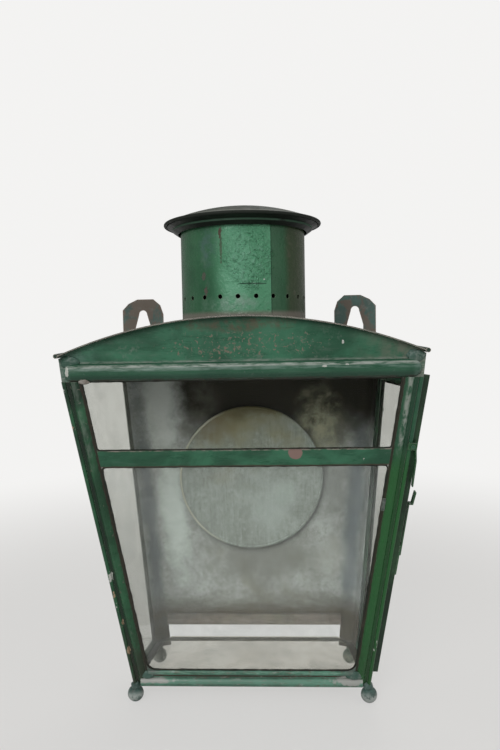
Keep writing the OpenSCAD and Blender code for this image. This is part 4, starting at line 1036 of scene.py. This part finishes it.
placePiece("topBar", form, railPaint, "top_rail")

# Solder run over the joints, and a drip of paint that has gone pale.
solderLumps = {
    "solderTopLeft": ((-0.1760, -0.0972, 0.4165), (0.0100, 0.0026, 0.0062), solderPaint),
    "solderTopRight": ((0.1768, -0.0972, 0.4172), (0.0090, 0.0028, 0.0068), solderPaint),
    "dripTopLeft": ((-0.1612, -0.0990, 0.3962), (0.0060, 0.0036, 0.0030), chipPaint),
    "solderLowLeft": ((-0.1245, -0.0052, 0.0360), (0.0090, 0.0026, 0.0048), solderPaint),
    "solderLowRight": ((0.1235, -0.0052, 0.0365), (0.0100, 0.0028, 0.0056), solderPaint),
    "solderFootLeft": ((-0.1395, 0.0000, 0.0205), (0.0062, 0.0058, 0.0052), footPaint),
    "solderFootRight": ((0.1395, 0.0000, 0.0205), (0.0062, 0.0058, 0.0052), footPaint),
}
lumpNoise = {"height": 0.25, "grain": 1.3, "apart": 300}
for name, (centre, size, finish) in solderLumps.items():
    form = bmesh.new()
    bmesh.ops.create_icosphere(form, subdivisions=4, radius=1.0)
    for vert in form.verts:
        at = vert.co * lumpNoise["grain"] + Vector(centre) * lumpNoise["apart"]
        vert.co *= 1 + lumpNoise["height"] * noise.noise(at)
    bmesh.ops.scale(form, vec=size, verts=form.verts)
    bmesh.ops.translate(form, vec=centre, verts=form.verts)
    placePiece(name, form, finish)
print("top bar and solder laid on")

# ---- floor and sky ----


def stageMaterial():
    mat, tree, shader, place, target = newMaterial("paleFloor")
    fill(shader, {"Base Color": studio["floorTone"], "Roughness": studio["floorRough"],
                  "Specular IOR Level": studio["floorShine"]})
    glow = add(tree, "Emission", {"Color": studio["wallTone"]})
    away = vectors("LENGTH", place, output="Value")
    path = tree.nodes.new("ShaderNodeLightPath").outputs
    seen = maths("MAXIMUM", path["Is Camera Ray"],
                 maths("MAXIMUM", path["Is Glossy Ray"], path["Is Transmission Ray"]))
    shown = times(seen, rise(away, studio["glowFrom"], studio["glowTo"], 1.0,
                             studio["floorGlow"]))
    above = mixShaders(shown, shader.outputs[0], glow)
    under = add(tree, "NewGeometry", output="Backfacing")
    clear = add(tree, "BsdfTransparent")
    tree.links.new(mixShaders(under, above, clear), target.inputs[0])
    return mat


form = bmesh.new()
bmesh.ops.create_circle(form, cap_ends=True, radius=studio["floorRadius"], segments=64)
floorMesh = bpy.data.meshes.new("floor")
form.to_mesh(floorMesh)
form.free()
floorMesh.materials.append(stageMaterial())
floor = bpy.data.objects.new("floor", floorMesh)
bpy.context.scene.collection.objects.link(floor)

world = bpy.data.worlds.new("studio")
world.use_nodes = True
bpy.context.scene.world = world
sky = world.node_tree
sky.nodes.clear()
path = sky.nodes.new("ShaderNodeLightPath").outputs
seen = maths("MAXIMUM", path["Is Camera Ray"], path["Is Transmission Ray"])
light = add(sky, "Background", {"Color": studio["skyTone"], "Strength": studio["skyLevel"]})
backdrop = add(sky, "Background", {"Color": studio["wallTone"]})
skyTarget = sky.nodes.new("ShaderNodeOutputWorld")
sky.links.new(mixShaders(seen, light, backdrop), skyTarget.inputs[0])
print("studio set")
